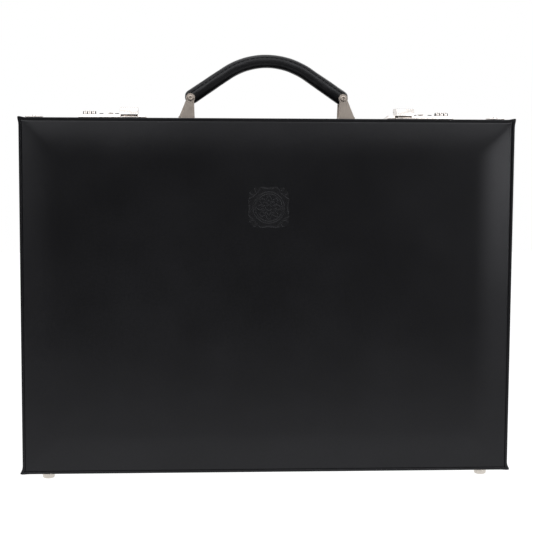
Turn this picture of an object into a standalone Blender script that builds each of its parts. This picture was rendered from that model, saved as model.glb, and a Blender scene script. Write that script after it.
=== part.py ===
"""Slim hard-sided attache briefcase: two shallow trays covered in leather, hinged along the bottom edge.

The case stands on its feet with the lid at the front (-Y), the body at the back (+Y), and +Z up.
The origin is on the floor, under the middle of the case. All sizes are in metres.
"""
import math

import bmesh
import bpy
from mathutils import Matrix, Vector

MM = 0.001

# ---------------------------------------------------------------- the case as a whole
CASE_WIDTH = 440 * MM
CASE_HEIGHT = 319 * MM
RIM_DEPTH = 69 * MM
LID_DEPTH = 27 * MM
FACE_CROWN = 3.0 * MM
CROWN_WIDTH = 34 * MM
CROWN_STEPS = 5
CORNER_RADIUS = 2.5 * MM
INNER_CORNER_RADIUS = 0.8 * MM
CORNER_SEGMENTS = 3
FOOT_HEIGHT = 6.5 * MM

# ---------------------------------------------------------------- clearances
GAP = 0.3 * MM
SEAM_GAP = 0.3 * MM
TONGUE_GAP = 0.5 * MM

# ---------------------------------------------------------------- leather, board and lining
WRAP_INSET = 0.4 * MM
WRAP_THICKNESS = 1.6 * MM
BINDING_DEPTH = 6.0 * MM
COVER_RECESS = 0.8 * MM
COVER_THICKNESS = 1.6 * MM
PAD_SEAT = 0.6 * MM
PAD_BORDER = 5.0 * MM
SHELL_WALL = 4.0 * MM
SHELL_PANEL = 3.0 * MM
LINING_THICKNESS = 1.2 * MM

# ---------------------------------------------------------------- mouth frames
FRAME_FLANGE = 1.8 * MM
TONGUE_THICKNESS = 1.2 * MM
TONGUE_REACH = 8.0 * MM
FRAME_LEG = 8.0 * MM

# ---------------------------------------------------------------- piano hinge
HINGE_FROM_END = 34 * MM
HINGE_KNUCKLES = 13
HINGE_BARREL_RADIUS = 1.6 * MM
HINGE_PIN_RADIUS = 0.7 * MM
HINGE_LEAF_WIDTH = 9.0 * MM
HINGE_LEAF_THICKNESS = 0.8 * MM

# ---------------------------------------------------------------- feet
FOOT_FROM_END = 22 * MM
FOOT_FROM_RIM = 14.3 * MM
FOOT_RADIUS = 5.5 * MM
FOOT_SOLE_RADIUS = 4.2 * MM
STUD_RADIUS = 1.5 * MM

# ---------------------------------------------------------------- handle
HANDLE_SPAN = 138.6 * MM
HANDLE_FROM_RIM = 42 * MM
HANDLE_PIN_HEIGHT = 18.3 * MM
ARCH_RADIUS = 66 * MM
ARM_SLOPE = math.radians(34)
GRIP_HALF_HEIGHT = 6.1 * MM
GRIP_END_HALF_HEIGHT = 6.7 * MM
GRIP_HALF_WIDTH = 7.0 * MM
GRIP_OVERHANG = 4.3 * MM
CORE_WIDTH = 8.0 * MM
CORE_THICKNESS = 2.4 * MM
CORE_EYE_RADIUS = 2.6 * MM
HANDLE_PIN_RADIUS = 1.4 * MM
HANDLE_PIN_HEAD_RADIUS = 2.4 * MM
HANDLE_PIN_HEAD_HEIGHT = 0.9 * MM
CHEEK_THICKNESS = 1.5 * MM
CHEEK_CLEARANCE = 0.5 * MM
CHEEK_HEAD_RADIUS = 3.8 * MM
BRACKET_BASE_LENGTH = 14.5 * MM
BRACKET_BASE_INNER = 3.6 * MM
BRACKET_WEB = 1.6 * MM
BRACKET_STUD_FROM_END = 4.0 * MM

# ---------------------------------------------------------------- combination locks
LOCK_INNER_END = 108.0 * MM
LOCK_LENGTH = 62.5 * MM
LOCK_WIDTH = 19.0 * MM
LOCK_HEIGHT = 3.1 * MM
LOCK_END_SLOPE = 3.6 * MM
LOCK_FROM_SEAM = 2.0 * MM
LOCK_CASE_WALL = 1.5 * MM
DIAL_COUNT = 3
DIAL_FIRST = 156.5 * MM
DIAL_PITCH = 3.6 * MM
DIAL_WIDTH = 2.5 * MM
DIAL_RADIUS = 5.0 * MM
DIAL_NOTCH = 0.25 * MM
DIAL_TEETH = 10
DIAL_ABOVE_PLATE = 3.1 * MM
DIAL_SLOT_CLEARANCE = 0.4 * MM
DIAL_AXLE_RADIUS = 0.8 * MM
HASP_CENTRE = 124.2 * MM
HASP_WIDTH = 16.0 * MM
HASP_FRONT_REACH = 8.5 * MM
HASP_TOP = 6.2 * MM
HASP_SHEET = 1.3 * MM
HASP_PIN_FROM_SEAM = 13.0 * MM
HASP_PIN_HEIGHT = 2.9 * MM
HASP_PIN_RADIUS = 0.8 * MM
HASP_LUG_CLEARANCE = 1.0 * MM
CATCH_LENGTH = 11.0 * MM
CATCH_PLATE = 1.2 * MM
CATCH_RIB_DEPTH = 4.3 * MM
BUTTON_FIRST = 139.0 * MM
BUTTON_LENGTH = 4.2 * MM
BUTTON_WIDTH = 8.0 * MM
BUTTON_HEIGHT = 1.1 * MM
BUTTON_STEM_WIDTH = 3.2 * MM
BUTTON_STEM_DEPTH = 1.8 * MM
BUTTON_TRAVEL = 3.5 * MM

# ---------------------------------------------------------------- corner plates
CORNER_PLATE_LENGTH = 15.0 * MM
CORNER_PLATE_WIDTH = 14.0 * MM
CORNER_PLATE_HEIGHT = 1.2 * MM
CORNER_PLATE_FROM_END = 3.0 * MM
CORNER_RIVET_RADIUS = 2.0 * MM
CORNER_RIVET_HEIGHT = 1.0 * MM

# ---------------------------------------------------------------- folding lid stays
STAY_ARM = 85 * MM
STAY_FROM_SEAM = 14 * MM
STAY_LINK_WIDTH = 8.0 * MM
STAY_LINK_THICKNESS = 1.5 * MM
STAY_LINK_SPACING = 0.5 * MM
STAY_PIN_RADIUS = 1.8 * MM
STAY_HEAD_RADIUS = 3.0 * MM
STAY_HEAD_HEIGHT = 0.9 * MM
STAY_PLATE_LENGTH = 18 * MM
STAY_PLATE_WIDTH = 9 * MM
STAY_PLATE_THICKNESS = 1.2 * MM
STAY_FRAME_CLEARANCE = 1.8 * MM

# ---------------------------------------------------------------- lid file pocket
POCKET_WIDTH = 372 * MM
POCKET_HEIGHT = 205 * MM
POCKET_DEPTH = 6.5 * MM
POCKET_WALL = 1.1 * MM
POCKET_ABOVE_FLOOR = 10 * MM

# ---------------------------------------------------------------- places that follow from the sizes
CASE_BOTTOM = FOOT_HEIGHT
CASE_TOP = CASE_BOTTOM + CASE_HEIGHT
CASE_MIDDLE = CASE_BOTTOM + CASE_HEIGHT / 2
HALF_WIDTH = CASE_WIDTH / 2
HINGE_LENGTH = CASE_WIDTH - 2 * HINGE_FROM_END
SEAM_Y = -RIM_DEPTH / 2 + LID_DEPTH
SKIN_INSET = WRAP_INSET + WRAP_THICKNESS
SHELL_INSET = SKIN_INSET + GAP
SHELL_INNER_INSET = SHELL_INSET + SHELL_WALL
LINING_INSET = SHELL_INNER_INSET + GAP
LINING_INNER_INSET = LINING_INSET + LINING_THICKNESS
TONGUE_INSET = LINING_INNER_INSET + TONGUE_GAP
TONGUE_INNER_INSET = TONGUE_INSET + TONGUE_THICKNESS
PANEL_DEPTH = COVER_RECESS + COVER_THICKNESS + PAD_SEAT + GAP
PANEL_INNER_DEPTH = PANEL_DEPTH + SHELL_PANEL
LINING_DEPTH = PANEL_INNER_DEPTH + GAP
LINING_INNER_DEPTH = LINING_DEPTH + LINING_THICKNESS
TOP_SEAT = CASE_TOP - WRAP_INSET + GAP
BOTTOM_SEAT = CASE_BOTTOM + WRAP_INSET - GAP
STUD_REACH = WRAP_THICKNESS + GAP + SHELL_WALL
HINGE_Z = BOTTOM_SEAT - HINGE_BARREL_RADIUS
HANDLE_Y = -RIM_DEPTH / 2 + HANDLE_FROM_RIM
HANDLE_PIN_Z = TOP_SEAT + HANDLE_PIN_HEIGHT
LOCK_TOP = TOP_SEAT + LOCK_HEIGHT
LOCK_Y = SEAM_Y + LOCK_FROM_SEAM + LOCK_WIDTH / 2
DIAL_Z = LOCK_TOP + DIAL_ABOVE_PLATE - DIAL_RADIUS
HASP_PIN_Y = SEAM_Y + HASP_PIN_FROM_SEAM
HASP_PIN_Z = LOCK_TOP + HASP_PIN_HEIGHT


# ================================================================ modelling helpers
def clear_scene():
    for obj in list(bpy.data.objects):
        bpy.data.objects.remove(obj, do_unlink=True)


def make_material(name, colour, roughness, metallic):
    material = bpy.data.materials.new(name)
    material.use_nodes = True
    shader = material.node_tree.nodes["Principled BSDF"]
    shader.inputs["Base Color"].default_value = (*colour, 1.0)
    shader.inputs["Roughness"].default_value = roughness
    shader.inputs["Metallic"].default_value = metallic
    return material


def loft(loops, cyclic=False):
    """Joins loops of equally many points into one closed surface, as a ring or with its two ends capped."""
    shape = bmesh.new()
    rows = [[shape.verts.new(point) for point in loop] for loop in loops]
    count = len(rows[0])
    pairs = list(zip(rows, rows[1:]))
    if cyclic:
        pairs.append((rows[-1], rows[0]))
    for first, second in pairs:
        for i in range(count):
            j = (i + 1) % count
            shape.faces.new((first[i], first[j], second[j], second[i]))
    if not cyclic:
        shape.faces.new(rows[0])
        shape.faces.new(rows[-1])
    return shape


def at(axis, distance, first, second):
    """A point at a distance along an axis; the other two coordinates follow in X, Y, Z order."""
    if axis == "X":
        return (distance, first, second)
    if axis == "Y":
        return (first, distance, second)
    return (first, second, distance)


def prism(points, axis, start, end):
    return loft([[at(axis, distance, *point) for point in points] for distance in (start, end)])


def slab(low, high):
    corners = [(low[0], low[1]), (high[0], low[1]), (high[0], high[1]), (low[0], high[1])]
    return prism(corners, "Z", low[2], high[2])


def circle(centre, radius, segments, start=0.0, sweep=2 * math.pi):
    """Points on a circle, or on an arc that includes both of its ends."""
    steps = segments if sweep == 2 * math.pi else segments - 1
    angles = [start + sweep * i / steps for i in range(segments)]
    return [(centre[0] + radius * math.cos(a), centre[1] + radius * math.sin(a)) for a in angles]


def turned(profile, centre, axis, segments=16):
    """A solid of revolution from (distance along the axis, radius) pairs."""
    loops = []
    for distance, radius in profile:
        loops.append([at(axis, distance, *point) for point in circle(centre, radius, segments)])
    return loft(loops)


def rod(centre, radius, axis, start, end, segments=16):
    return turned([(start, radius), (end, radius)], centre, axis, segments)


def add(name, shape, material, pivot=(0, 0, 0), parent=None):
    """Turns a shape drawn in world coordinates into an object whose origin is its pivot."""
    origin = Vector(pivot)
    bmesh.ops.recalc_face_normals(shape, faces=shape.faces)
    bmesh.ops.translate(shape, verts=shape.verts, vec=-origin)
    mesh = bpy.data.meshes.new(name)
    shape.to_mesh(mesh)
    shape.free()
    mesh.materials.append(material)
    mesh.shade_smooth()
    mesh.set_sharp_from_angle(angle=math.radians(35))
    obj = bpy.data.objects.new(name, mesh)
    bpy.context.scene.collection.objects.link(obj)
    obj.parent = parent
    obj.location = origin - parent.location if parent else origin
    return obj


def add_pivot(name, place, parent=None):
    pivot = bpy.data.objects.new(name, None)
    bpy.context.scene.collection.objects.link(pivot)
    pivot.parent = parent
    pivot.location = Vector(place) - (parent.location if parent else Vector())
    return pivot


def combine(obj, shape, operation, label):
    """Adds a Boolean with a helper solid drawn in world coordinates."""
    helper = add(f"tool_{obj.name}_{label}", shape, obj.data.materials[0])
    helper.hide_render = True
    helper.display_type = "WIRE"
    modifier = obj.modifiers.new(label, "BOOLEAN")
    modifier.solver = "EXACT"
    modifier.operation = operation
    modifier.object = helper


def join(obj, shape, label):
    combine(obj, shape, "UNION", label)


def cut(obj, shape, label):
    combine(obj, shape, "DIFFERENCE", label)


def side_name(side):
    return "left" if side < 0 else "right"


# ================================================================ outlines of the case
def outline(inset, y):
    """The case's rounded rectangle, moved inwards by an inset, at one depth."""
    radius = max(CORNER_RADIUS - inset, INNER_CORNER_RADIUS)
    reach_x = HALF_WIDTH - inset - radius
    reach_z = CASE_HEIGHT / 2 - inset - radius
    points = []
    for quarter, (sx, sz) in enumerate(((1, 1), (-1, 1), (-1, -1), (1, -1))):
        centre = (sx * reach_x, CASE_MIDDLE + sz * reach_z)
        points += circle(centre, radius, CORNER_SEGMENTS + 1, quarter * math.pi / 2, math.pi / 2)
    return [(x, y, z) for x, z in points]


def from_rim(direction, depth):
    """The Y of a plane this deep under the rim of the lid (-1) or of the body (+1)."""
    return direction * (RIM_DEPTH / 2 - depth)


def from_seam(direction, depth):
    """The Y of a plane this far from the seam, on the lid's side (-1) or the body's (+1)."""
    return SEAM_Y + direction * (SEAM_GAP / 2 + depth)


def crown_height(border):
    """How far the face stands above its recessed border, at a distance in from that border."""
    share = min(border / CROWN_WIDTH, 1.0)
    return (FACE_CROWN + COVER_RECESS) * math.sin(share * math.pi / 2)


def crown_loops(direction, under, start):
    """Loops up the crowned face, a set distance under its surface, from a border inwards."""
    loops = []
    for step in range(CROWN_STEPS + 1):
        border = start + (CROWN_WIDTH - start) * step / CROWN_STEPS
        depth = COVER_RECESS + under - crown_height(border)
        loops.append(outline(SHELL_INSET + border, from_rim(direction, depth)))
    return loops


# ================================================================ leather, board and lining of one half
def make_cover(name, direction, leather, parent):
    outer = crown_loops(direction, 0.0, 0.0)
    inner = crown_loops(direction, COVER_THICKNESS, 0.0)
    return add(name, loft(list(reversed(inner)) + outer), leather, parent=parent)


def make_pad(name, direction, foam, parent):
    seat = outline(SHELL_INSET + PAD_BORDER, from_rim(direction, PANEL_DEPTH - GAP))
    return add(name, loft([seat] + crown_loops(direction, COVER_THICKNESS + GAP, PAD_BORDER)), foam, parent=parent)


def make_binding(name, direction, leather, parent):
    front = from_rim(direction, 0.0)
    back = from_rim(direction, BINDING_DEPTH)
    section = [(0.0, front), (0.0, back), (SKIN_INSET, back), (SKIN_INSET, front)]
    return add(name, loft([outline(*corner) for corner in section], cyclic=True), leather, parent=parent)


def make_wrap(name, direction, leather, parent):
    front = from_rim(direction, BINDING_DEPTH + GAP)
    back = from_seam(direction, 0.0)
    section = [(WRAP_INSET, front), (WRAP_INSET, back), (SKIN_INSET, back), (SKIN_INSET, front)]
    return add(name, loft([outline(*corner) for corner in section], cyclic=True), leather, parent=parent)


def make_tray(name, direction, insets, depths, material, parent):
    """A shallow box open at the mouth; insets and depths are those of its outer and its inner face."""
    mouth = from_seam(direction, FRAME_FLANGE + GAP)
    loops = [
        outline(insets[0], from_rim(direction, depths[0])),
        outline(insets[0], mouth),
        outline(insets[1], mouth),
        outline(insets[1], from_rim(direction, depths[1])),
    ]
    return add(name, loft(loops), material, parent=parent)


def make_half(prefix, cover_name, direction, finishes, parent):
    """The covered tray of the lid or of the body; returns its side wrap, its shell and its lining."""
    make_cover(cover_name, direction, finishes["leather"], parent)
    make_pad(f"{prefix}_panel_pad", direction, finishes["foam"], parent)
    make_binding(f"{prefix}_binding", direction, finishes["leather"], parent)
    wrap = make_wrap(f"{prefix}_side_wrap", direction, finishes["leather"], parent)
    shell_insets = (SHELL_INSET, SHELL_INNER_INSET)
    shell_depths = (PANEL_DEPTH, PANEL_INNER_DEPTH)
    shell = make_tray(f"{prefix}_shell", direction, shell_insets, shell_depths, finishes["board"], parent)
    lining_insets = (LINING_INSET, LINING_INNER_INSET)
    lining_depths = (LINING_DEPTH, LINING_INNER_DEPTH)
    lining = make_tray(f"{prefix}_lining", direction, lining_insets, lining_depths, finishes["lining"], parent)
    return wrap, shell, lining


def pierce(skins, shape_maker, label):
    """Cuts the same hole through each skin that it reaches: the side wrap, the shell and the lining."""
    for skin in skins:
        cut(skin, shape_maker(), label)


# ================================================================ mouth frames
def make_body_frame(aluminium):
    """Aluminium edge of the body, whose tongue stands into the lid and keeps dust out."""
    face = from_seam(1, 0.0)
    back = from_seam(1, FRAME_FLANGE)
    tip = SEAM_Y - TONGUE_REACH
    leg_end = from_seam(1, FRAME_LEG)
    leg_inset = LINING_INNER_INSET + GAP
    section = [
        (SHELL_INSET, face),
        (TONGUE_INSET, face),
        (TONGUE_INSET, tip),
        (TONGUE_INNER_INSET, tip),
        (TONGUE_INNER_INSET, leg_end),
        (leg_inset, leg_end),
        (leg_inset, back),
        (SHELL_INSET, back),
    ]
    add("body_mouth_frame", loft([outline(*corner) for corner in section], cyclic=True), aluminium)


def make_lid_frame(aluminium, parent):
    face = from_seam(-1, 0.0)
    back = from_seam(-1, FRAME_FLANGE)
    section = [(SHELL_INSET, face), (LINING_INNER_INSET, face), (LINING_INNER_INSET, back), (SHELL_INSET, back)]
    shape = loft([outline(*corner) for corner in section], cyclic=True)
    add("lid_mouth_frame", shape, aluminium, parent=parent)


# ================================================================ piano hinge
def make_hinge_leaf(name, direction, nickel, parent):
    """One leaf: a strip under the case and every other knuckle of the barrel."""
    knuckle = HINGE_LENGTH / HINGE_KNUCKLES
    start = -HINGE_LENGTH / 2
    edges = sorted((SEAM_Y, SEAM_Y + direction * HINGE_LEAF_WIDTH))
    low = (start, edges[0], BOTTOM_SEAT - HINGE_LEAF_THICKNESS)
    high = (-start, edges[1], BOTTOM_SEAT)
    leaf = add(name, slab(low, high), nickel, (0, SEAM_Y, HINGE_Z), parent)
    join(leaf, rod((SEAM_Y, HINGE_Z), HINGE_BARREL_RADIUS, "X", start, -start), "barrel")
    bore = HINGE_PIN_RADIUS + GAP
    cut(leaf, rod((SEAM_Y, HINGE_Z), bore, "X", start - knuckle, knuckle - start, 12), "bore")
    clear = HINGE_BARREL_RADIUS + GAP
    first = 0 if direction < 0 else 1
    for index in range(first, HINGE_KNUCKLES, 2):
        notch_low = start + index * knuckle - GAP / 2
        notch_high = start + (index + 1) * knuckle + GAP / 2
        notch = slab((notch_low, SEAM_Y - clear, HINGE_Z - clear), (notch_high, SEAM_Y + clear, HINGE_Z + clear))
        cut(leaf, notch, f"knuckle_{index}")


def make_hinge_pin(steel):
    half = HINGE_LENGTH / 2
    add("hinge_pin", rod((SEAM_Y, HINGE_Z), HINGE_PIN_RADIUS, "X", -half, half, 12), steel, (0, SEAM_Y, HINGE_Z))


# ================================================================ feet
def make_foot(name, side, direction, skins, nickel, parent):
    x = side * (HALF_WIDTH - FOOT_FROM_END)
    y = from_rim(direction, FOOT_FROM_RIM)
    shoulder = 0.3 * FOOT_HEIGHT
    profile = [
        (0.0, FOOT_SOLE_RADIUS),
        (0.4 * shoulder, (FOOT_SOLE_RADIUS + FOOT_RADIUS) / 2),
        (shoulder, FOOT_RADIUS),
        (BOTTOM_SEAT, FOOT_RADIUS),
        (BOTTOM_SEAT, STUD_RADIUS),
        (BOTTOM_SEAT + STUD_REACH, STUD_RADIUS),
    ]
    add(name, turned(profile, (x, y), "Z", 20), nickel, (x, y, BOTTOM_SEAT), parent)

    def hole():
        return rod((x, y), STUD_RADIUS + GAP, "Z", CASE_BOTTOM - GAP, BOTTOM_SEAT + STUD_REACH + 2 * GAP, 12)

    pierce(skins[:2], hole, f"foot_{side_name(side)}")


# ================================================================ handle
def handle_stations(overhang):
    """Points along the handle's centre line with its slope: straight arm, round arch, straight arm."""
    arm_run = HANDLE_SPAN / 2 - ARCH_RADIUS * math.sin(ARM_SLOPE)
    arch_foot = HANDLE_PIN_Z + arm_run * math.tan(ARM_SLOPE)
    arch_centre = arch_foot - ARCH_RADIUS * math.cos(ARM_SLOPE)
    end_x = HANDLE_SPAN / 2 + overhang * math.cos(ARM_SLOPE)
    end_z = HANDLE_PIN_Z - overhang * math.sin(ARM_SLOPE)
    stations = [(-end_x, end_z, ARM_SLOPE)]
    arch_steps = 12
    for step in range(arch_steps + 1):
        angle = ARM_SLOPE * (1 - 2 * step / arch_steps)
        x = -ARCH_RADIUS * math.sin(angle)
        stations.append((x, arch_centre + ARCH_RADIUS * math.cos(angle), angle))
    stations.append((end_x, end_z, -ARM_SLOPE))
    return stations


def cross_section(station, half_height, half_width, segments, squareness):
    """A rounded section square to the centre line; squareness 1 is an ellipse and less is boxier."""
    x, z, slope = station
    points = []
    for i in range(segments):
        angle = 2 * math.pi * (i + 0.5) / segments
        up = math.copysign(abs(math.sin(angle)) ** squareness, math.sin(angle)) * half_height
        across = math.copysign(abs(math.cos(angle)) ** squareness, math.cos(angle)) * half_width
        points.append((x - up * math.sin(slope), HANDLE_Y + across, z + up * math.cos(slope)))
    return points


def strap(grow, overhang):
    """The steel strap inside the grip, or the channel for it when it is grown by a gap."""
    corner = math.sin(math.pi / 4)
    half_height = (CORE_THICKNESS / 2 + grow) / corner
    half_width = (CORE_WIDTH / 2 + grow) / corner
    return loft([cross_section(s, half_height, half_width, 4, 1.0) for s in handle_stations(overhang)])


def eye(side, radius, half_width):
    x = side * HANDLE_SPAN / 2
    return rod((x, HANDLE_PIN_Z), radius, "Y", HANDLE_Y - half_width, HANDLE_Y + half_width)


def make_handle_core(steel):
    core = add("handle_core", strap(0.0, 0.0), steel, (0, HANDLE_Y, HANDLE_PIN_Z))
    for side in (-1, 1):
        join(core, eye(side, CORE_EYE_RADIUS, CORE_WIDTH / 2), f"eye_{side_name(side)}")
    for side in (-1, 1):
        cut(core, eye(side, HANDLE_PIN_RADIUS + GAP, CORE_WIDTH), f"bore_{side_name(side)}")


def make_handle_grip(leather):
    stations = handle_stations(GRIP_OVERHANG)
    loops = []
    for station in stations:
        share = min(abs(station[0]) / (HANDLE_SPAN / 2), 1.0)
        half_height = GRIP_HALF_HEIGHT + (GRIP_END_HALF_HEIGHT - GRIP_HALF_HEIGHT) * share
        loops.append(cross_section(station, half_height, GRIP_HALF_WIDTH, 14, 0.85))
    blunt = [(0.0, 1.0), (0.6, 0.86), (1.0, 0.62)]
    first, last = [], []
    for share, scale in blunt[1:]:
        tip = handle_stations(GRIP_OVERHANG + share * GRIP_OVERHANG * 0.4)
        height = GRIP_END_HALF_HEIGHT * scale
        width = GRIP_HALF_WIDTH * (0.6 + 0.4 * scale)
        first.insert(0, cross_section(tip[0], height, width, 14, 0.85))
        last.append(cross_section(tip[-1], height, width, 14, 0.85))
    grip = add("handle_grip", loft(first + loops + last), leather, (0, HANDLE_Y, HANDLE_PIN_Z))
    cut(grip, strap(GAP, 0.0), "core_channel")
    for side in (-1, 1):
        name = side_name(side)
        cut(grip, eye(side, CORE_EYE_RADIUS + GAP, CORE_WIDTH / 2 + GAP), f"eye_{name}")
        cut(grip, eye(side, HANDLE_PIN_RADIUS + GAP, 2 * GRIP_HALF_WIDTH), f"pin_{name}")


def make_bracket(side, skins, nickel):
    """A clevis: two tapered cheeks on one base, held down by two studs."""
    pin_x = side * HANDLE_SPAN / 2
    inner_x = pin_x - side * BRACKET_BASE_INNER
    outer_x = inner_x + side * BRACKET_BASE_LENGTH
    inner_half = GRIP_HALF_WIDTH + CHEEK_CLEARANCE
    outer_half = inner_half + CHEEK_THICKNESS
    web_top = TOP_SEAT + BRACKET_WEB
    above = HANDLE_PIN_Z + 2 * CHEEK_HEAD_RADIUS
    channel = [
        (HANDLE_Y - outer_half, TOP_SEAT),
        (HANDLE_Y + outer_half, TOP_SEAT),
        (HANDLE_Y + outer_half, above),
        (HANDLE_Y + inner_half, above),
        (HANDLE_Y + inner_half, web_top),
        (HANDLE_Y - inner_half, web_top),
        (HANDLE_Y - inner_half, above),
        (HANDLE_Y - outer_half, above),
    ]
    span = sorted((inner_x - side * BRACKET_BASE_LENGTH, outer_x + side * BRACKET_BASE_LENGTH))
    bracket = add(f"handle_bracket_{side_name(side)}", prism(channel, "X", *span), nickel, (pin_x, HANDLE_Y, TOP_SEAT))
    head = circle((0, 0), CHEEK_HEAD_RADIUS, 9, math.radians(8), math.radians(172))
    cheek = [(outer_x, TOP_SEAT - GAP)] + [(pin_x + side * u, HANDLE_PIN_Z + v) for u, v in head]
    cheek.append((inner_x, TOP_SEAT - GAP))
    reach = 2 * outer_half
    combine(bracket, prism(cheek, "Y", HANDLE_Y - reach, HANDLE_Y + reach), "INTERSECT", "cheek_outline")
    cut(bracket, eye(side, HANDLE_PIN_RADIUS + GAP, reach), "pin")
    for index, x in enumerate((inner_x + side * BRACKET_STUD_FROM_END, outer_x - side * BRACKET_STUD_FROM_END)):
        stud = rod((x, HANDLE_Y), STUD_RADIUS, "Z", TOP_SEAT - STUD_REACH, TOP_SEAT + BRACKET_WEB / 2, 12)
        join(bracket, stud, f"stud_{index}")
        low, high = TOP_SEAT - STUD_REACH - 2 * GAP, CASE_TOP
        pierce(skins[:2], lambda: rod((x, HANDLE_Y), STUD_RADIUS + GAP, "Z", low, high, 12),
               f"bracket_{side_name(side)}_{index}")


def make_handle_pin(side, nickel):
    """A headed cross pin, from front to back through the cheeks, the grip and the core."""
    x = side * HANDLE_SPAN / 2
    under_head = GRIP_HALF_WIDTH + CHEEK_CLEARANCE + CHEEK_THICKNESS + GAP
    rim = under_head + 0.6 * HANDLE_PIN_HEAD_HEIGHT
    top = under_head + HANDLE_PIN_HEAD_HEIGHT
    half = [
        (under_head, HANDLE_PIN_RADIUS),
        (under_head, HANDLE_PIN_HEAD_RADIUS),
        (rim, HANDLE_PIN_HEAD_RADIUS),
        (top, 0.75 * HANDLE_PIN_HEAD_RADIUS),
    ]
    profile = [(HANDLE_Y - d, r) for d, r in reversed(half)] + [(HANDLE_Y + d, r) for d, r in half]
    name = f"handle_pin_{side_name(side)}"
    add(name, turned(profile, (x, HANDLE_PIN_Z), "Y"), nickel, (x, HANDLE_Y, HANDLE_PIN_Z))


# ================================================================ combination locks
def span_x(side, first, last):
    """Two distances from the middle of the case as an ordered X range on one side."""
    return sorted((side * first, side * last))


def dial_places():
    return [DIAL_FIRST + DIAL_PITCH * index for index in range(DIAL_COUNT)]


def dial_case_range():
    """Where the sunk case of the dials lies: its distances from the middle, Y range and floor."""
    reach = DIAL_PITCH / 2 + LOCK_CASE_WALL
    places = dial_places()
    half_depth = DIAL_RADIUS + DIAL_SLOT_CLEARANCE + LOCK_CASE_WALL
    floor = DIAL_Z - DIAL_RADIUS - DIAL_SLOT_CLEARANCE - LOCK_CASE_WALL / 2
    return places[0] - reach, places[-1] + reach, half_depth, floor


def make_lock_housing(side, skins, nickel):
    name = side_name(side)
    outer_end = LOCK_INNER_END + LOCK_LENGTH
    plate = [
        (side * LOCK_INNER_END, TOP_SEAT),
        (side * outer_end, TOP_SEAT),
        (side * (outer_end - LOCK_END_SLOPE), LOCK_TOP),
        (side * (LOCK_INNER_END + LOCK_END_SLOPE), LOCK_TOP),
    ]
    y_range = (LOCK_Y - LOCK_WIDTH / 2, LOCK_Y + LOCK_WIDTH / 2)
    pivot = (side * (LOCK_INNER_END + LOCK_LENGTH / 2), LOCK_Y, TOP_SEAT)
    housing = add(f"lock_housing_{name}", prism(plate, "Y", *y_range), nickel, pivot)

    # the lug that carries the hasp's pin
    lug_half = HASP_WIDTH / 2 - HASP_SHEET - HASP_LUG_CLEARANCE
    lug_radius = HASP_TOP - HASP_SHEET - HASP_PIN_HEIGHT - GAP
    lug = circle((HASP_PIN_Y, HASP_PIN_Z), lug_radius, 9, 0.0, math.pi)
    lug += [(HASP_PIN_Y - lug_radius, LOCK_TOP - GAP), (HASP_PIN_Y + lug_radius, LOCK_TOP - GAP)]
    join(housing, prism(lug, "X", *span_x(side, HASP_CENTRE - lug_half, HASP_CENTRE + lug_half)), "lug")
    bore = rod((HASP_PIN_Y, HASP_PIN_Z), HASP_PIN_RADIUS + GAP, "X", *span_x(side, LOCK_INNER_END, outer_end), 12)
    cut(housing, bore, "hasp_pin")

    # the sunk case with a slot for each dial
    near, far, half_depth, floor = dial_case_range()
    low_x, high_x = span_x(side, near, far)
    case = slab((low_x, LOCK_Y - half_depth, floor), (high_x, LOCK_Y + half_depth, TOP_SEAT + LOCK_HEIGHT / 2))
    join(housing, case, "dial_case")
    slot_half = (DIAL_WIDTH + DIAL_PITCH) / 4
    slot_depth = DIAL_RADIUS + DIAL_SLOT_CLEARANCE
    for index, place in enumerate(dial_places()):
        low = (side * place - slot_half, LOCK_Y - slot_depth, DIAL_Z - slot_depth)
        high = (side * place + slot_half, LOCK_Y + slot_depth, LOCK_TOP + LOCK_HEIGHT)
        cut(housing, slab(low, high), f"dial_slot_{index}")
    axle_hole = rod((LOCK_Y, DIAL_Z), DIAL_AXLE_RADIUS + GAP, "X", *span_x(side, near + GAP, far - GAP), 12)
    cut(housing, axle_hole, "axle_hole")

    # the slot that the button's stem runs in
    stem = (BUTTON_LENGTH - 2 * GAP) / 2
    middle = BUTTON_FIRST + BUTTON_LENGTH / 2
    low_x, high_x = span_x(side, middle - stem - GAP, middle + stem + BUTTON_TRAVEL + GAP)
    half = BUTTON_STEM_WIDTH / 2 + GAP
    floor_z = LOCK_TOP - BUTTON_STEM_DEPTH - GAP
    cut(housing, slab((low_x, LOCK_Y - half, floor_z), (high_x, LOCK_Y + half, LOCK_TOP + GAP)), "button_slot")

    def well():
        low_w, high_w = span_x(side, near - GAP, far + GAP)
        reach = half_depth + GAP
        return slab((low_w, LOCK_Y - reach, floor - 2 * GAP), (high_w, LOCK_Y + reach, CASE_TOP))

    pierce(skins, well, f"lock_{name}")


def make_dials(side, nickel, steel):
    name = side_name(side)
    near, far, _, _ = dial_case_range()
    first, last = span_x(side, near + 2 * GAP, far - 2 * GAP)
    middle = (side * dial_places()[DIAL_COUNT // 2], LOCK_Y, DIAL_Z)
    add(f"dial_axle_{name}", rod((LOCK_Y, DIAL_Z), DIAL_AXLE_RADIUS, "X", first, last, 12), steel, middle)
    for index, place in enumerate(dial_places()):
        x = side * place
        rim = []
        for tooth in range(2 * DIAL_TEETH):
            radius = DIAL_RADIUS - DIAL_NOTCH * (tooth % 2)
            angle = math.pi * tooth / DIAL_TEETH
            rim.append((LOCK_Y + radius * math.cos(angle), DIAL_Z + radius * math.sin(angle)))
        shape = prism(rim, "X", x - DIAL_WIDTH / 2, x + DIAL_WIDTH / 2)
        dial = add(f"dial_{name}_{index + 1}", shape, nickel, (x, LOCK_Y, DIAL_Z))
        bore = rod((LOCK_Y, DIAL_Z), DIAL_AXLE_RADIUS + GAP, "X", x - DIAL_WIDTH, x + DIAL_WIDTH, 12)
        cut(dial, bore, "bore")


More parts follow.
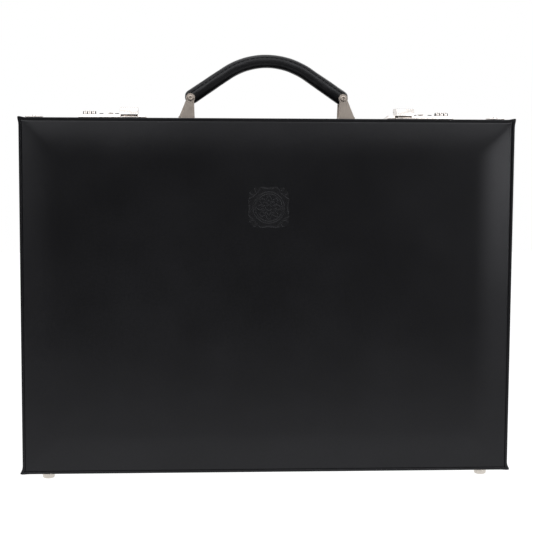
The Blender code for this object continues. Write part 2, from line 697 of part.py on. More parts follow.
def make_hasp(side, nickel, steel):
    """A sprung flap over the seam, pinned at its back end, with its front lip over the lid's catch."""
    name = side_name(side)
    pivot = (side * HASP_CENTRE, HASP_PIN_Y, HASP_PIN_Z)
    front = SEAM_Y - HASP_FRONT_REACH
    bottom = LOCK_TOP + GAP
    top = LOCK_TOP + HASP_TOP
    heel = HASP_PIN_HEIGHT - GAP
    flap = [(front, bottom), (HASP_PIN_Y, HASP_PIN_Z - heel)]
    flap += circle((HASP_PIN_Y, HASP_PIN_Z), heel, 7, -math.pi / 2, math.pi)[1:]
    flap += [(HASP_PIN_Y, top), (front + HASP_SHEET, top), (front, top - HASP_SHEET)]
    x_range = span_x(side, HASP_CENTRE - HASP_WIDTH / 2, HASP_CENTRE + HASP_WIDTH / 2)
    hasp = add(f"hasp_{name}", prism(flap, "X", *x_range), nickel, pivot)
    inner = HASP_WIDTH / 2 - HASP_SHEET
    low_x, high_x = span_x(side, HASP_CENTRE - inner, HASP_CENTRE + inner)
    room = slab((low_x, front + HASP_SHEET, bottom - HASP_TOP), (high_x, HASP_PIN_Y + HASP_TOP, top - HASP_SHEET))
    cut(hasp, room, "room")
    pin_y_z = (HASP_PIN_Y, HASP_PIN_Z)
    reach = HASP_WIDTH
    hole = rod(pin_y_z, HASP_PIN_RADIUS + GAP, "X", *span_x(side, HASP_CENTRE - reach, HASP_CENTRE + reach), 12)
    cut(hasp, hole, "pin")
    pin_half = HASP_WIDTH / 2 - GAP
    pin = rod(pin_y_z, HASP_PIN_RADIUS, "X", *span_x(side, HASP_CENTRE - pin_half, HASP_CENTRE + pin_half), 12)
    add(f"hasp_pin_{name}", pin, steel, pivot)


def make_button(side, nickel):
    name = side_name(side)
    low_x, high_x = span_x(side, BUTTON_FIRST, BUTTON_FIRST + BUTTON_LENGTH)
    bottom = LOCK_TOP + GAP
    top = bottom + BUTTON_HEIGHT
    half = BUTTON_WIDTH / 2
    pivot = (side * (BUTTON_FIRST + BUTTON_LENGTH / 2), LOCK_Y, LOCK_TOP)
    knob = slab((low_x, LOCK_Y - half, bottom), (high_x, LOCK_Y + half, top))
    button = add(f"slide_button_{name}", knob, nickel, pivot)
    stem_half = BUTTON_STEM_WIDTH / 2
    low = (low_x + GAP, LOCK_Y - stem_half, LOCK_TOP - BUTTON_STEM_DEPTH)
    high = (high_x - GAP, LOCK_Y + stem_half, bottom + BUTTON_HEIGHT / 2)
    join(button, slab(low, high), "stem")


def make_catch(side, skins, nickel, parent):
    """The lid's catch plate, whose rib lies inside the closed hasp."""
    name = side_name(side)
    back = from_seam(-1, 0.4 * MM)
    front = back - CATCH_LENGTH
    half = HASP_WIDTH / 2
    low_x, high_x = span_x(side, HASP_CENTRE - half, HASP_CENTRE + half)
    pivot = (side * HASP_CENTRE, (front + back) / 2, TOP_SEAT)
    plate = slab((low_x, front, TOP_SEAT), (high_x, back, TOP_SEAT + CATCH_PLATE))
    catch = add(f"catch_plate_{name}", plate, nickel, pivot, parent)
    rib_front = SEAM_Y - HASP_FRONT_REACH + HASP_SHEET + GAP
    rib_half = half - HASP_SHEET - HASP_LUG_CLEARANCE
    low_x, high_x = span_x(side, HASP_CENTRE - rib_half, HASP_CENTRE + rib_half)
    rib = slab((low_x, rib_front, TOP_SEAT + CATCH_PLATE / 2), (high_x, rib_front + CATCH_RIB_DEPTH, LOCK_TOP))
    join(catch, rib, "rib")
    stud_y = rib_front + CATCH_RIB_DEPTH / 2
    stud_x = side * HASP_CENTRE
    low, high = TOP_SEAT - STUD_REACH, TOP_SEAT + CATCH_PLATE / 2
    join(catch, rod((stud_x, stud_y), STUD_RADIUS, "Z", low, high, 12), "stud")
    pierce(skins[:2], lambda: rod((stud_x, stud_y), STUD_RADIUS + GAP, "Z", low - 2 * GAP, CASE_TOP, 12), f"catch_{name}")


# ================================================================ corner plates
def make_corner_plate(side, nickel):
    outer = HALF_WIDTH - CORNER_PLATE_FROM_END
    inner = outer - CORNER_PLATE_LENGTH
    low_x, high_x = span_x(side, inner, outer)
    front = from_seam(1, GAP)
    plate = slab((low_x, front, TOP_SEAT), (high_x, front + CORNER_PLATE_WIDTH, TOP_SEAT + CORNER_PLATE_HEIGHT))
    middle = (side * (inner + outer) / 2, front + CORNER_PLATE_WIDTH / 2)
    corner = add(f"corner_plate_{side_name(side)}", plate, nickel, (*middle, TOP_SEAT))
    top = TOP_SEAT + CORNER_PLATE_HEIGHT
    profile = [
        (top - CORNER_PLATE_HEIGHT / 2, CORNER_RIVET_RADIUS),
        (top + CORNER_RIVET_HEIGHT / 2, CORNER_RIVET_RADIUS),
        (top + CORNER_RIVET_HEIGHT, CORNER_RIVET_RADIUS / 2),
    ]
    join(corner, turned(profile, middle, "Z", 12), "rivet")


# ================================================================ folding lid stays
def stay_layers():
    """Distances from the middle of the case to the faces of what lies between the lining and the room."""
    wall = HALF_WIDTH - LINING_INNER_INSET
    frame = HALF_WIDTH - TONGUE_INNER_INSET
    lower_outer = frame - STAY_FRAME_CLEARANCE
    lower_inner = lower_outer - STAY_LINK_THICKNESS
    upper_outer = lower_inner - STAY_LINK_SPACING
    upper_inner = upper_outer - STAY_LINK_THICKNESS
    return wall, lower_outer, lower_inner, upper_outer, upper_inner


def stay_points():
    """The stay's pivots on the body and on the lid, and its elbow, as (Y, Z)."""
    rise = math.sqrt(STAY_ARM ** 2 - STAY_FROM_SEAM ** 2)
    body = (SEAM_Y + STAY_FROM_SEAM, HINGE_Z + rise)
    lid = (SEAM_Y - STAY_FROM_SEAM, HINGE_Z + rise)
    elbow = (SEAM_Y, HINGE_Z + 2 * rise)
    return body, lid, elbow


def make_link(name, side, ends, faces, steel, parent):
    """A flat bar with round ends and a hole at each end."""
    start, end = Vector(ends[0]), Vector(ends[1])
    heading = math.atan2(end.y - start.y, end.x - start.x)
    radius = STAY_LINK_WIDTH / 2
    points = circle(end, radius, 9, heading - math.pi / 2, math.pi)
    points += circle(start, radius, 9, heading + math.pi / 2, math.pi)
    link = add(name, prism(points, "X", *span_x(side, *faces)), steel, (side * faces[0], *ends[0]), parent)
    for label, end_point in zip(("hole_start", "hole_end"), ends):
        hole = rod(end_point, STAY_PIN_RADIUS + GAP, "X", *span_x(side, faces[0] + GAP, faces[1] - GAP))
        cut(link, hole, label)


def make_stay_pivot(name, side, place, link_faces, steel, parent):
    """A plate on the lining with a headed pin that a link turns on."""
    wall = stay_layers()[0]
    outer = wall - GAP
    inner = outer - STAY_PLATE_THICKNESS
    y, z = place
    low_x, high_x = span_x(side, inner, outer)
    low = (low_x, y - STAY_PLATE_WIDTH / 2, z - STAY_PLATE_LENGTH / 2)
    high = (high_x, y + STAY_PLATE_WIDTH / 2, z + STAY_PLATE_LENGTH / 2)
    plate = add(name, slab(low, high), steel, (side * outer, y, z), parent)
    head = link_faces[1] - GAP
    profile = [
        (side * (inner + STAY_PLATE_THICKNESS / 2), STAY_PIN_RADIUS),
        (side * head, STAY_PIN_RADIUS),
        (side * head, STAY_HEAD_RADIUS),
        (side * (head - STAY_HEAD_HEIGHT), STAY_HEAD_RADIUS),
    ]
    join(plate, turned(profile, place, "X"), "pin")


def make_stays(side, steel, lid):
    name = side_name(side)
    _, lower_outer, lower_inner, upper_outer, upper_inner = stay_layers()
    body_point, lid_point, elbow = stay_points()
    lower_faces = (lower_outer, lower_inner)
    upper_faces = (upper_outer, upper_inner)
    lower_pivot = add_pivot(f"stay_lower_pivot_{name}", (side * lower_outer, *body_point))
    upper_pivot = add_pivot(f"stay_upper_pivot_{name}", (side * upper_outer, *lid_point))
    make_link(f"stay_lower_{name}", side, (body_point, elbow), lower_faces, steel, lower_pivot)
    make_link(f"stay_upper_{name}", side, (lid_point, elbow), upper_faces, steel, upper_pivot)
    make_stay_pivot(f"body_stay_pivot_{name}", side, body_point, lower_faces, steel, None)
    make_stay_pivot(f"lid_stay_pivot_{name}", side, lid_point, upper_faces, steel, lid)
    outer = lower_outer + GAP
    inner = upper_inner - GAP
    profile = [
        (side * (outer + STAY_HEAD_HEIGHT), STAY_HEAD_RADIUS),
        (side * outer, STAY_HEAD_RADIUS),
        (side * outer, STAY_PIN_RADIUS),
        (side * inner, STAY_PIN_RADIUS),
        (side * inner, STAY_HEAD_RADIUS),
        (side * (inner - STAY_HEAD_HEIGHT), STAY_HEAD_RADIUS),
    ]
    rivet = turned(profile, elbow, "X")
    add(f"stay_rivet_{name}", rivet, steel, (side * lower_outer, *elbow), lower_pivot)


# ================================================================ lid file pocket
def make_file_pocket(lining, parent):
    """A flat pocket against the lid's lining, open at its top edge."""
    back = from_rim(-1, LINING_INNER_DEPTH + GAP)
    front = back + POCKET_DEPTH
    floor = CASE_BOTTOM + LINING_INNER_INSET + POCKET_ABOVE_FLOOR
    half = POCKET_WIDTH / 2
    top = floor + POCKET_HEIGHT
    pocket = add("lid_file_pocket", slab((-half, back, floor), (half, front, top)), lining, (0, back, floor), parent)
    low = (POCKET_WALL - half, back - GAP, floor + POCKET_WALL)
    high = (half - POCKET_WALL, front - POCKET_WALL, top + GAP)
    cut(pocket, slab(low, high), "room")


# ================================================================ the whole case
def build():
    clear_scene()
    finishes = {
        "leather": make_material("black_box_leather", (0.012, 0.012, 0.013), 0.38, 0.0),
        "foam": make_material("grey_foam", (0.20, 0.20, 0.21), 0.95, 0.0),
        "board": make_material("fibre_board", (0.16, 0.10, 0.06), 0.80, 0.0),
        "lining": make_material("charcoal_lining", (0.05, 0.05, 0.055), 0.90, 0.0),
    }
    grip_leather = make_material("grip_leather", (0.014, 0.014, 0.014), 0.42, 0.0)
    aluminium = make_material("satin_aluminium", (0.66, 0.67, 0.68), 0.38, 1.0)
    nickel = make_material("bright_nickel", (0.80, 0.79, 0.77), 0.16, 1.0)
    satin = make_material("satin_nickel", (0.60, 0.57, 0.53), 0.34, 1.0)
    steel = make_material("zinc_steel", (0.55, 0.56, 0.58), 0.35, 1.0)

    lid = add_pivot("lid_hinge_axis", (0, SEAM_Y, HINGE_Z))
    body_skins = make_half("body", "body_back_cover", 1, finishes, None)
    lid_skins = make_half("lid", "lid_front_cover", -1, finishes, lid)
    make_body_frame(aluminium)
    make_lid_frame(aluminium, lid)
    make_hinge_leaf("body_hinge_leaf", 1, nickel, None)
    make_hinge_leaf("lid_hinge_leaf", -1, nickel, lid)
    make_hinge_pin(steel)
    make_handle_core(steel)
    make_handle_grip(grip_leather)
    make_file_pocket(finishes["lining"], lid)
    for side in (-1, 1):
        make_foot(f"body_foot_{side_name(side)}", side, 1, body_skins, nickel, None)
        make_foot(f"lid_foot_{side_name(side)}", side, -1, lid_skins, nickel, lid)
        make_bracket(side, body_skins, satin)
        make_handle_pin(side, nickel)
        make_lock_housing(side, body_skins, nickel)
        make_dials(side, nickel, steel)
        make_hasp(side, nickel, steel)
        make_button(side, nickel)
        make_catch(side, lid_skins, nickel, lid)
        make_corner_plate(side, nickel)
        make_stays(side, steel, lid)


build()
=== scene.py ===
"""Looks of the slim black attache case: its leather, fittings and lining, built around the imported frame."""
import contextlib
import math

import bmesh
import bpy
from mathutils import Matrix, Vector, noise


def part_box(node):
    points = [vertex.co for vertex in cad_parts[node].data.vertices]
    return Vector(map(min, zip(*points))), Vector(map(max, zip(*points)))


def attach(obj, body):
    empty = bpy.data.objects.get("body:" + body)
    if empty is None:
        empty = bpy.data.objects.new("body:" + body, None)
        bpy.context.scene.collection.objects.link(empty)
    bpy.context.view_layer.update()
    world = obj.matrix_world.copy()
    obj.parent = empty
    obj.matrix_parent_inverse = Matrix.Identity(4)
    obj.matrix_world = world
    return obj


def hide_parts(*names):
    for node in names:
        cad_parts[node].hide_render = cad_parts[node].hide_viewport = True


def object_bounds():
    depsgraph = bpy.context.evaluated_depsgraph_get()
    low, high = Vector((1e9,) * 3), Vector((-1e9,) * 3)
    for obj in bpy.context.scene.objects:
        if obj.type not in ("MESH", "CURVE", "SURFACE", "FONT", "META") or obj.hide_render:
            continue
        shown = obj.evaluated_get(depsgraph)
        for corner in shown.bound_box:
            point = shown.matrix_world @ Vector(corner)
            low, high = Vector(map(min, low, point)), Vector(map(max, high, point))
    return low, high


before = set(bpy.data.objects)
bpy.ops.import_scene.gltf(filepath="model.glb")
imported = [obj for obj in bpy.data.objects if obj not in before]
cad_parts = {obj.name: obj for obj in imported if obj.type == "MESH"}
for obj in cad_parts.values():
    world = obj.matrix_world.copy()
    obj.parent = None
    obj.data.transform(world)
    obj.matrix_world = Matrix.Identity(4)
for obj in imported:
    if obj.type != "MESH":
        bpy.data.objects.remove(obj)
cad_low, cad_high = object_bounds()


# ================================================================ camera
# A long lens at the height of the case's top edge, a little left of its middle, looking slightly down and
# right, so that the lid is seen almost square and the fittings stand up against the background.
MM = 0.001
CAMERA_PLACE = (-80.3 * MM, -1297.7 * MM, 327.3 * MM)
CAMERA_TURN_DEGREES = (83.986, -0.317, -3.523)
CAMERA_LENS_MM = 96.25

camera_turn = [math.radians(turn) for turn in CAMERA_TURN_DEGREES]
bpy.ops.object.camera_add(location=CAMERA_PLACE, rotation=camera_turn)
camera = bpy.context.object
camera.data.lens = CAMERA_LENS_MM
camera.data.sensor_width = 36
bpy.context.scene.camera = camera


# ================================================================ studio
# A lit white floor runs out into a white background, so that neither shows a shadow. A small bright lamp,
# set low to keep its glare off the case's top, draws a band of light down the lid's right edge. Broad lamps
# light the rest, and the floor lies just under where the opened lid reaches.
class Wire:
    """One output of a finish's nodes, so that masks and grain can be written as arithmetic."""

    def __init__(self, finish, socket):
        self.finish = finish
        self.socket = socket

    def maths(self, operation, first, second):
        return self.finish.node("ShaderNodeMath", {"operation": operation}, {0: first, 1: second})

    def __add__(self, other):
        return self.maths("ADD", self, other)

    def __sub__(self, other):
        return self.maths("SUBTRACT", self, other)

    def __rsub__(self, other):
        return self.maths("SUBTRACT", other, self)

    def __mul__(self, other):
        return self.maths("MULTIPLY", self, other)

    __radd__ = __add__
    __rmul__ = __mul__


class Nodes:
    """The nodes of a material or of the surroundings, which it adds, sets and links."""

    def __init__(self, tree):
        self.tree = tree

    def join(self, socket, value):
        if isinstance(value, Wire):
            self.tree.links.new(value.socket, socket)
        elif socket.type == "RGBA" and len(value) == 3:
            socket.default_value = (*value, 1.0)
        else:
            socket.default_value = value

    def node(self, kind, settings=None, sockets=None, output=0):
        made = self.tree.nodes.new(kind)
        for setting, value in (settings or {}).items():
            setattr(made, setting, value)
        for place, value in (sockets or {}).items():
            self.join(made.inputs[place], value)
        return Wire(self, made.outputs[output])

    def place(self, scale=(1, 1, 1), turn=(0, 0, 0), shift=(0, 0, 0)):
        """The piece's own coordinates in metres, scaled, turned and shifted."""
        where = self.node("ShaderNodeTexCoord", output="Object")
        sockets = {"Vector": where, "Location": shift, "Rotation": turn, "Scale": scale}
        return self.node("ShaderNodeMapping", None, sockets)

    def speckle(self, size, detail=2.0, roughness=0.5, place=None):
        """Soft noise from 0 to 1 whose spots measure about the given size."""
        sockets = {"Vector": place or self.place(), "Scale": 1 / size,
                   "Detail": detail, "Roughness": roughness}
        return self.node("ShaderNodeTexNoise", None, sockets)

    def cells(self, size):
        """The distance from the middle of small cells of about the given size."""
        sockets = {"Vector": self.place(), "Scale": 1 / size}
        return self.node("ShaderNodeTexVoronoi", None, sockets, "Distance")

    def step(self, value, low, high):
        """0 below the low value, 1 above the high one, and smooth in between."""
        sockets = {"Value": value, "From Min": low, "From Max": high}
        return self.node("ShaderNodeMapRange", {"interpolation_type": "SMOOTHSTEP"}, sockets)

    def mix(self, first, second, mask):
        return self.node("ShaderNodeMix", {"data_type": "RGBA"}, {0: mask, 6: first, 7: second}, 2)

    def relief(self, height, depth, under=None):
        """A normal from a height of 0 to 1 that stands for a depth in metres, laid over another relief."""
        sockets = {"Height": height, "Distance": depth, "Strength": 1.0}
        if under:
            sockets["Normal"] = under
        return self.node("ShaderNodeBump", None, sockets)


class Finish(Nodes):
    """A material in the making, with the constants of its shader set."""

    def __init__(self, name, constants):
        self.material = bpy.data.materials.new(name)
        self.material.use_nodes = True
        super().__init__(self.material.node_tree)
        self.shader = self.tree.nodes["Principled BSDF"]
        for socket, value in constants.items():
            self.join(self.shader.inputs[socket], value)

    def paint(self, **wires):
        """Links what changes over the surface: base_color, roughness, normal and so on."""
        for socket, wire in wires.items():
            self.join(self.shader.inputs[socket.replace("_", " ").title()], wire)
        return self.material


FLOOR_WIDTH = 3.6
FLOOR_FRONT = -0.66
FLOOR_BACK = 2.6
FLOOR_DROP = 0.045
FLOOR_GLOW = 1.0
FRONT_LIGHT = 0.10
SURROUNDING_LIGHT = 0.90
BACKGROUND = 1.0
BEHIND_CASE = (-0.15, 0.35)
ABOVE_CASE = (0.10, 0.75)
LAMPS = (
    ("overhead_lamp", (-0.1, -0.2, 2.0), (1.6, 1.8), 1.25),
    ("front_lamp", (-0.85, -1.5, 1.25), (1.6, 0.8), 2.8),
    ("right_lamp", (1.04, -1.45, 0.245), (0.46, 0.15), 14.0),
    ("high_right_lamp", (0.9, -1.5, 1.25), (1.2, 0.8), 3.5),
    ("left_lamp", (-1.00, -1.45, 0.70), (0.4, 1.1), 2.3),
    ("back_lamp", (0.9, 1.7, 1.2), (0.9, 0.9), 2.5),
)


def floor_finish():
    floor = Finish("pale_floor", {
        "Emission Color": (1, 1, 1), "Emission Strength": FLOOR_GLOW, "Roughness": 0.9})
    tone = floor.mix((0.05, 0.05, 0.05), (0.06, 0.06, 0.06), floor.speckle(0.5))
    return floor.paint(base_color=tone)


def light_the_room():
    """The background is plain and pale; what the case reflects is darker in front of it than behind it."""
    world = bpy.data.worlds.new("studio")
    world.use_nodes = True
    bpy.context.scene.world = world
    room = Nodes(world.node_tree)
    heading = room.node("ShaderNodeTexCoord", output="Generated")
    behind = room.step(room.node("ShaderNodeSeparateXYZ", None, {0: heading}, "Y"), *BEHIND_CASE)
    above = room.step(room.node("ShaderNodeSeparateXYZ", None, {0: heading}, "Z"), *ABOVE_CASE)
    reflected = behind.maths("MAXIMUM", behind, above) * (SURROUNDING_LIGHT - FRONT_LIGHT) + FRONT_LIGHT
    seen = room.node("ShaderNodeLightPath", output="Is Camera Ray")
    strength = reflected * (1 - seen) + seen * BACKGROUND
    room.join(room.tree.nodes["Background"].inputs["Color"], (1, 1, 1, 1))
    room.join(room.tree.nodes["Background"].inputs["Strength"], strength)


def add_lamp(name, place, aim, size, brightness):
    """A soft rectangular lamp; its brightness is that of its face, where the background's is 1."""
    facing = (Vector(aim) - Vector(place)).to_track_quat("-Z", "Y").to_euler()
    bpy.ops.object.light_add(type="AREA", location=place, rotation=facing)
    lamp = bpy.context.object
    lamp.name = name
    lamp.data.shape = "RECTANGLE"
    lamp.data.size, lamp.data.size_y = size
    lamp.data.energy = brightness * math.pi * size[0] * size[1]
    lamp.visible_camera = False


bpy.ops.mesh.primitive_plane_add(size=1, location=(0, (FLOOR_FRONT + FLOOR_BACK) / 2, -FLOOR_DROP))
studio_floor = bpy.context.object
studio_floor.scale = (FLOOR_WIDTH, FLOOR_BACK - FLOOR_FRONT, 1)
studio_floor.name = "studio_floor"
studio_floor.data.materials.append(floor_finish())
light_the_room()
case_centre = (cad_low + cad_high) / 2
for name, place, size, brightness in LAMPS:
    add_lamp(name, place, case_centre, size, brightness)
bpy.context.scene.view_settings.view_transform = "Standard"


# ================================================================ fibre board shells
# The lid and the body each have a tray of pressed fibre board, moulded in one piece. It is covered inside
# and out, so little of it ever shows but the raw edge at the holes.
def board_finish():
    board = Finish("fibre_board", {"Roughness": 0.82, "Specular IOR Level": 0.3})
    fibres = board.speckle(3 * MM, 6, 0.65, board.place((1, 1, 5)))
    tone = board.mix((0.115, 0.070, 0.040), (0.20, 0.135, 0.085), fibres)
    return board.paint(base_color=tone, normal=board.relief(fibres, 0.08 * MM))


def refinish(material, *nodes):
    """Gives CAD nodes that keep their shape a better material."""
    for name in nodes:
        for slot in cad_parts[name].material_slots:
            slot.material = material


refinish(board_finish(), "lid_shell", "body_shell")


# ================================================================ panel pads
# A thin sheet of foam is glued on each panel, bevelled at its border, so that the leather over it is gently
# crowned. It is cut from sheet and lies wholly under the leather.
rim_low, rim_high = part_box("lid_binding")
back_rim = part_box("body_binding")[1].y
HALF_WIDTH = rim_high.x
HALF_HEIGHT = (rim_high.z - rim_low.z) / 2
MIDDLE = (rim_high.z + rim_low.z) / 2
CROWN_WIDTH = 34 * MM
MITRE_SOFTNESS = 2.2 * MM
PANEL_COLUMNS = 128
PANEL_ROWS = 96
EDGE_CLOSENESS = 0.14
PAD_COLUMNS = 64
PAD_ROWS = 48
PAD_THINNING = 0.35 * MM
PAD_BORDER_SHARE = 0.25


def solo(piece):
    """Leaves one object selected and active, because operators act on all that is selected."""
    bpy.ops.object.select_all(action="DESELECT")
    piece.select_set(True)
    bpy.context.view_layer.objects.active = piece


def begin(name, add_primitive, **placing):
    """Adds a primitive where and as big as it is needed, and fixes that place in its mesh."""
    bpy.ops.object.select_all(action="DESELECT")
    add_primitive(**placing)
    piece = bpy.context.object
    piece.name = name
    piece.data.name = name
    bpy.ops.object.transform_apply(location=True, rotation=True, scale=True)
    return piece


def block(name, low, high):
    low, high = Vector(low), Vector(high)
    size = [abs(span) for span in high - low]
    return begin(name, bpy.ops.mesh.primitive_cube_add, size=1, location=(low + high) / 2, scale=size)


@contextlib.contextmanager
def shaping(piece):
    """Edit mode on one piece, for as long as its shape is worked on."""
    solo(piece)
    bpy.ops.object.mode_set(mode="EDIT")
    yield
    bpy.ops.object.mode_set(mode="OBJECT")


def middle_of(part):
    """The middle of a face or an edge, or the place of a corner."""
    if isinstance(part, bmesh.types.BMVert):
        return part.co
    points = [corner.co for corner in part.verts]
    return sum(points, Vector()) / len(points)


def pick(piece, kind, test):
    """Selects the faces, edges or corners that pass a test, in edit mode."""
    bpy.ops.mesh.select_mode(type=kind)
    bpy.ops.mesh.select_all(action="DESELECT")
    shape = bmesh.from_edit_mesh(piece.data)
    for part in {"VERT": shape.verts, "EDGE": shape.edges, "FACE": shape.faces}[kind]:
        if test(part):
            part.select_set(True)
    shape.select_flush_mode()
    bmesh.update_edit_mesh(piece.data)


def bevel_edges(piece, test, width, segments):
    """Bevels only the edges that pass a test."""
    with shaping(piece):
        pick(piece, "EDGE", test)
        bpy.ops.mesh.bevel(offset=width, segments=segments, affect="EDGES")


def shift_corners(piece, test, way):
    """Moves the corners that pass a test."""
    with shaping(piece):
        pick(piece, "VERT", test)
        bpy.ops.transform.translate(value=way)


def runs(edge, axis):
    """True where an edge runs along an axis, 0 for X to 2 for Z."""
    span = edge.verts[1].co - edge.verts[0].co
    return abs(span[axis]) > 0.99 * span.length


def modify(piece, kind, **settings):
    """Adds a modifier and applies it."""
    solo(piece)
    modifier = piece.modifiers.new(kind.lower(), kind)
    for setting, value in settings.items():
        setattr(modifier, setting, value)
    bpy.ops.object.modifier_apply(modifier=modifier.name)


def round_edges(piece, width, segments=2, angle=40):
    """Rounds every edge that is sharper than an angle."""
    modify(piece, "BEVEL", width=width, segments=segments, limit_method="ANGLE",
           angle_limit=math.radians(angle), use_clamp_overlap=True, miter_outer="MITER_ARC")


def smooth(piece, angle=38):
    solo(piece)
    bpy.ops.object.shade_smooth_by_angle(angle=math.radians(angle))


def reshape(piece, rule):
    """Moves every corner of a mesh to where a rule puts it."""
    for corner in piece.data.vertices:
        corner.co = rule(corner.co)
    piece.data.update()


def hand_over(piece, material, body, slot, *nodes):
    """Gives a finished piece its material and body, and the CAD nodes it stands for; its slot is not used."""
    if material:
        piece.data.materials.clear()
        piece.data.materials.append(material)
    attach(piece, body)
    if nodes:
        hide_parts(*nodes)
    return piece


def crown_share(x, z, half_x, half_z, crown_width):
    """How far up its crown a panel is at one place, from 0 at its border to 1 on its flat middle."""
    to_side = max(half_x - abs(x), 0.0)
    to_end = max(half_z - abs(z - MIDDLE), 0.0)
    near = math.exp(-to_side / MITRE_SOFTNESS) + math.exp(-to_end / MITRE_SOFTNESS)
    border = max(-MITRE_SOFTNESS * math.log(near), 0.0)
    return math.sin(min(border / crown_width, 1.0) * math.pi / 2)


def spread(share, half):
    """A place across a panel from a share of -1 to 1, with the rows closest together at its edges."""
    return half * (EDGE_CLOSENESS * share + (1 - EDGE_CLOSENESS) * math.sin(share * math.pi / 2))


def crowned_sheet(name, direction, half_x, half_z, columns, rows, surface):
    """A fine grid over the lid's (-1) or the body's (+1) face, whose depth a surface rule gives."""
    grid = begin(name, bpy.ops.mesh.primitive_grid_add, x_subdivisions=columns, y_subdivisions=rows, size=2)

    def lay(corner):
        x = -direction * spread(corner.x, half_x)
        z = MIDDLE + spread(corner.y, half_z)
        return Vector((x, surface(x, z), z))

    reshape(grid, lay)
    return grid


def foam_finish():
    foam = Finish("grey_foam", {"Roughness": 0.95, "Specular IOR Level": 0.2})
    pores = foam.cells(0.9 * MM)
    tone = foam.mix((0.10, 0.10, 0.105), (0.22, 0.22, 0.225), foam.step(pores, 0.1, 0.6))
    return foam.paint(base_color=tone, normal=foam.relief(pores, 0.25 * MM))


foam_material = foam_finish()
for name, direction in (("lid", -1), ("body", 1)):
    low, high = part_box(f"{name}_panel_pad")
    seat, crest = (high.y, low.y) if direction < 0 else (low.y, high.y)

    half_z = HALF_HEIGHT - (HALF_WIDTH - high.x)

    def pad_surface(x, z):
        rise = crown_share(x, z, high.x, half_z, CROWN_WIDTH)
        share = PAD_BORDER_SHARE + (1 - PAD_BORDER_SHARE) * rise
        return seat + (crest - seat) * share - direction * PAD_THINNING

    pad = crowned_sheet(f"{name}_foam_pad", direction, high.x, half_z, PAD_COLUMNS, PAD_ROWS, pad_surface)
    with shaping(pad):
        bpy.ops.mesh.select_all(action="SELECT")
        bpy.ops.mesh.extrude_region_move(TRANSFORM_OT_translate={"value": (0, 0, 0)})
        bpy.ops.mesh.flip_normals()
    for corner in pad.data.vertices:
        if corner.select:
            corner.co.y = seat
    pad.data.update()
    with shaping(pad):
        bpy.ops.mesh.select_all(action="SELECT")
        bpy.ops.mesh.normals_make_consistent(inside=False)
    smooth(pad)
    hand_over(pad, foam_material, name, "panel_foam", f"{name}_panel_pad")


# ================================================================ face leather
# One piece of smooth box calf is drawn over each padded panel and turned down into the groove inside the
# rim. The lid's has a mark pressed into it, a plain rosette in a rounded square.
COVER_INSET = HALF_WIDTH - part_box("lid_front_cover")[1].x
COVER_THICKNESS = 1.5 * MM
COVER_RECESS = 0.4 * MM
EDGE_ROLL = 0.9 * MM
EDGE_ROLL_DROP = 0.35 * MM
UNEVENNESS = 0.10 * MM
UNEVENNESS_SPAN = 75 * MM
MARK_Z = rim_high.z - 78.3 * MM
MARK_CALM = 36 * MM
MARK_HALF = 18.3 * MM
MARK_DEPTH = 0.26 * MM
MARK_LINE = 0.80 * MM
MARK_PEBBLING = 2 * math.pi / (1.7 * MM)
MARK_MARGIN = 5 * MM
MARK_CUTS = 17
MARK_PETALS = 8


def box_calf(name, black, gloss, dullness, grain_depth):
    """Black box calf: a tight, nearly smooth grain, a little uneven in dye and in polish."""
    calf = Finish(name, {"Specular IOR Level": gloss, "Specular Tint": (0.94, 0.95, 1.0),
                         "Coat Roughness": 0.28, "Coat IOR": 1.35})
    wander = calf.speckle(60 * MM, 3)
    creases = calf.speckle(2.2 * MM, 5, 0.6, calf.place((1, 1, 1.35)))
    pores = calf.cells(0.55 * MM)
    unevenly = calf.step(creases * 0.6 + wander * 0.4, 0.35, 0.75)
    tone = calf.mix(black, [1.9 * part for part in black], unevenly)
    pressed = calf.node("ShaderNodeAttribute", {"attribute_name": "pressed"}, None, "Fac")
    worked = calf.mix(tone, [1.1 * part for part in black], pressed)
    dull = creases * 0.09 + wander * 0.07 + pressed * 0.06 + (dullness - 0.08)
    fine = calf.relief(pores, grain_depth)
    return calf.paint(base_color=worked, roughness=dull, coat_weight=wander * 0.08,
                      normal=calf.relief(creases, grain_depth * 1.6, fine))


def groove(distance, width):
    """1 on a line and 0 beyond its width, rounded in between."""
    share = max(0.0, 1 - abs(distance) / width)
    return share * share * (3 - 2 * share)


def mark_depth(across, up):
    """How deep the pressed mark is, from 0 to 1, at a place measured from its middle."""
    radius = math.hypot(across, up)
    around = math.atan2(up, across)
    petals = abs(math.cos(around * MARK_PETALS / 2))
    lines = [groove(radius - MARK_HALF * ring, MARK_LINE) for ring in (0.14, 0.66, 0.76)]
    lines.append(groove(radius - MARK_HALF * (0.30 + 0.28 * petals), MARK_LINE * 1.2))
    lines.append(groove(radius - MARK_HALF * (0.20 + 0.16 * petals), MARK_LINE))
    lines.append(groove(radius - MARK_HALF * (1.06 - 0.14 * petals), MARK_LINE * 1.2))
    from_corner = math.hypot(abs(across) - MARK_HALF * 0.78, abs(up) - MARK_HALF * 0.78)
    lines.append(groove(from_corner - MARK_HALF * 0.16, MARK_LINE))
    pebbles = math.sin(across * MARK_PEBBLING) * math.sin(up * MARK_PEBBLING)
    return 0.25 + 0.10 * pebbles + 0.65 * max(lines)


def mark_share(across, up):
    """1 inside the mark's rounded square and 0 outside it, with a soft border."""
    square = (abs(across) ** 5 + abs(up) ** 5) ** 0.2
    return min(max((MARK_HALF - square) / MARK_LINE, 0.0), 1.0)


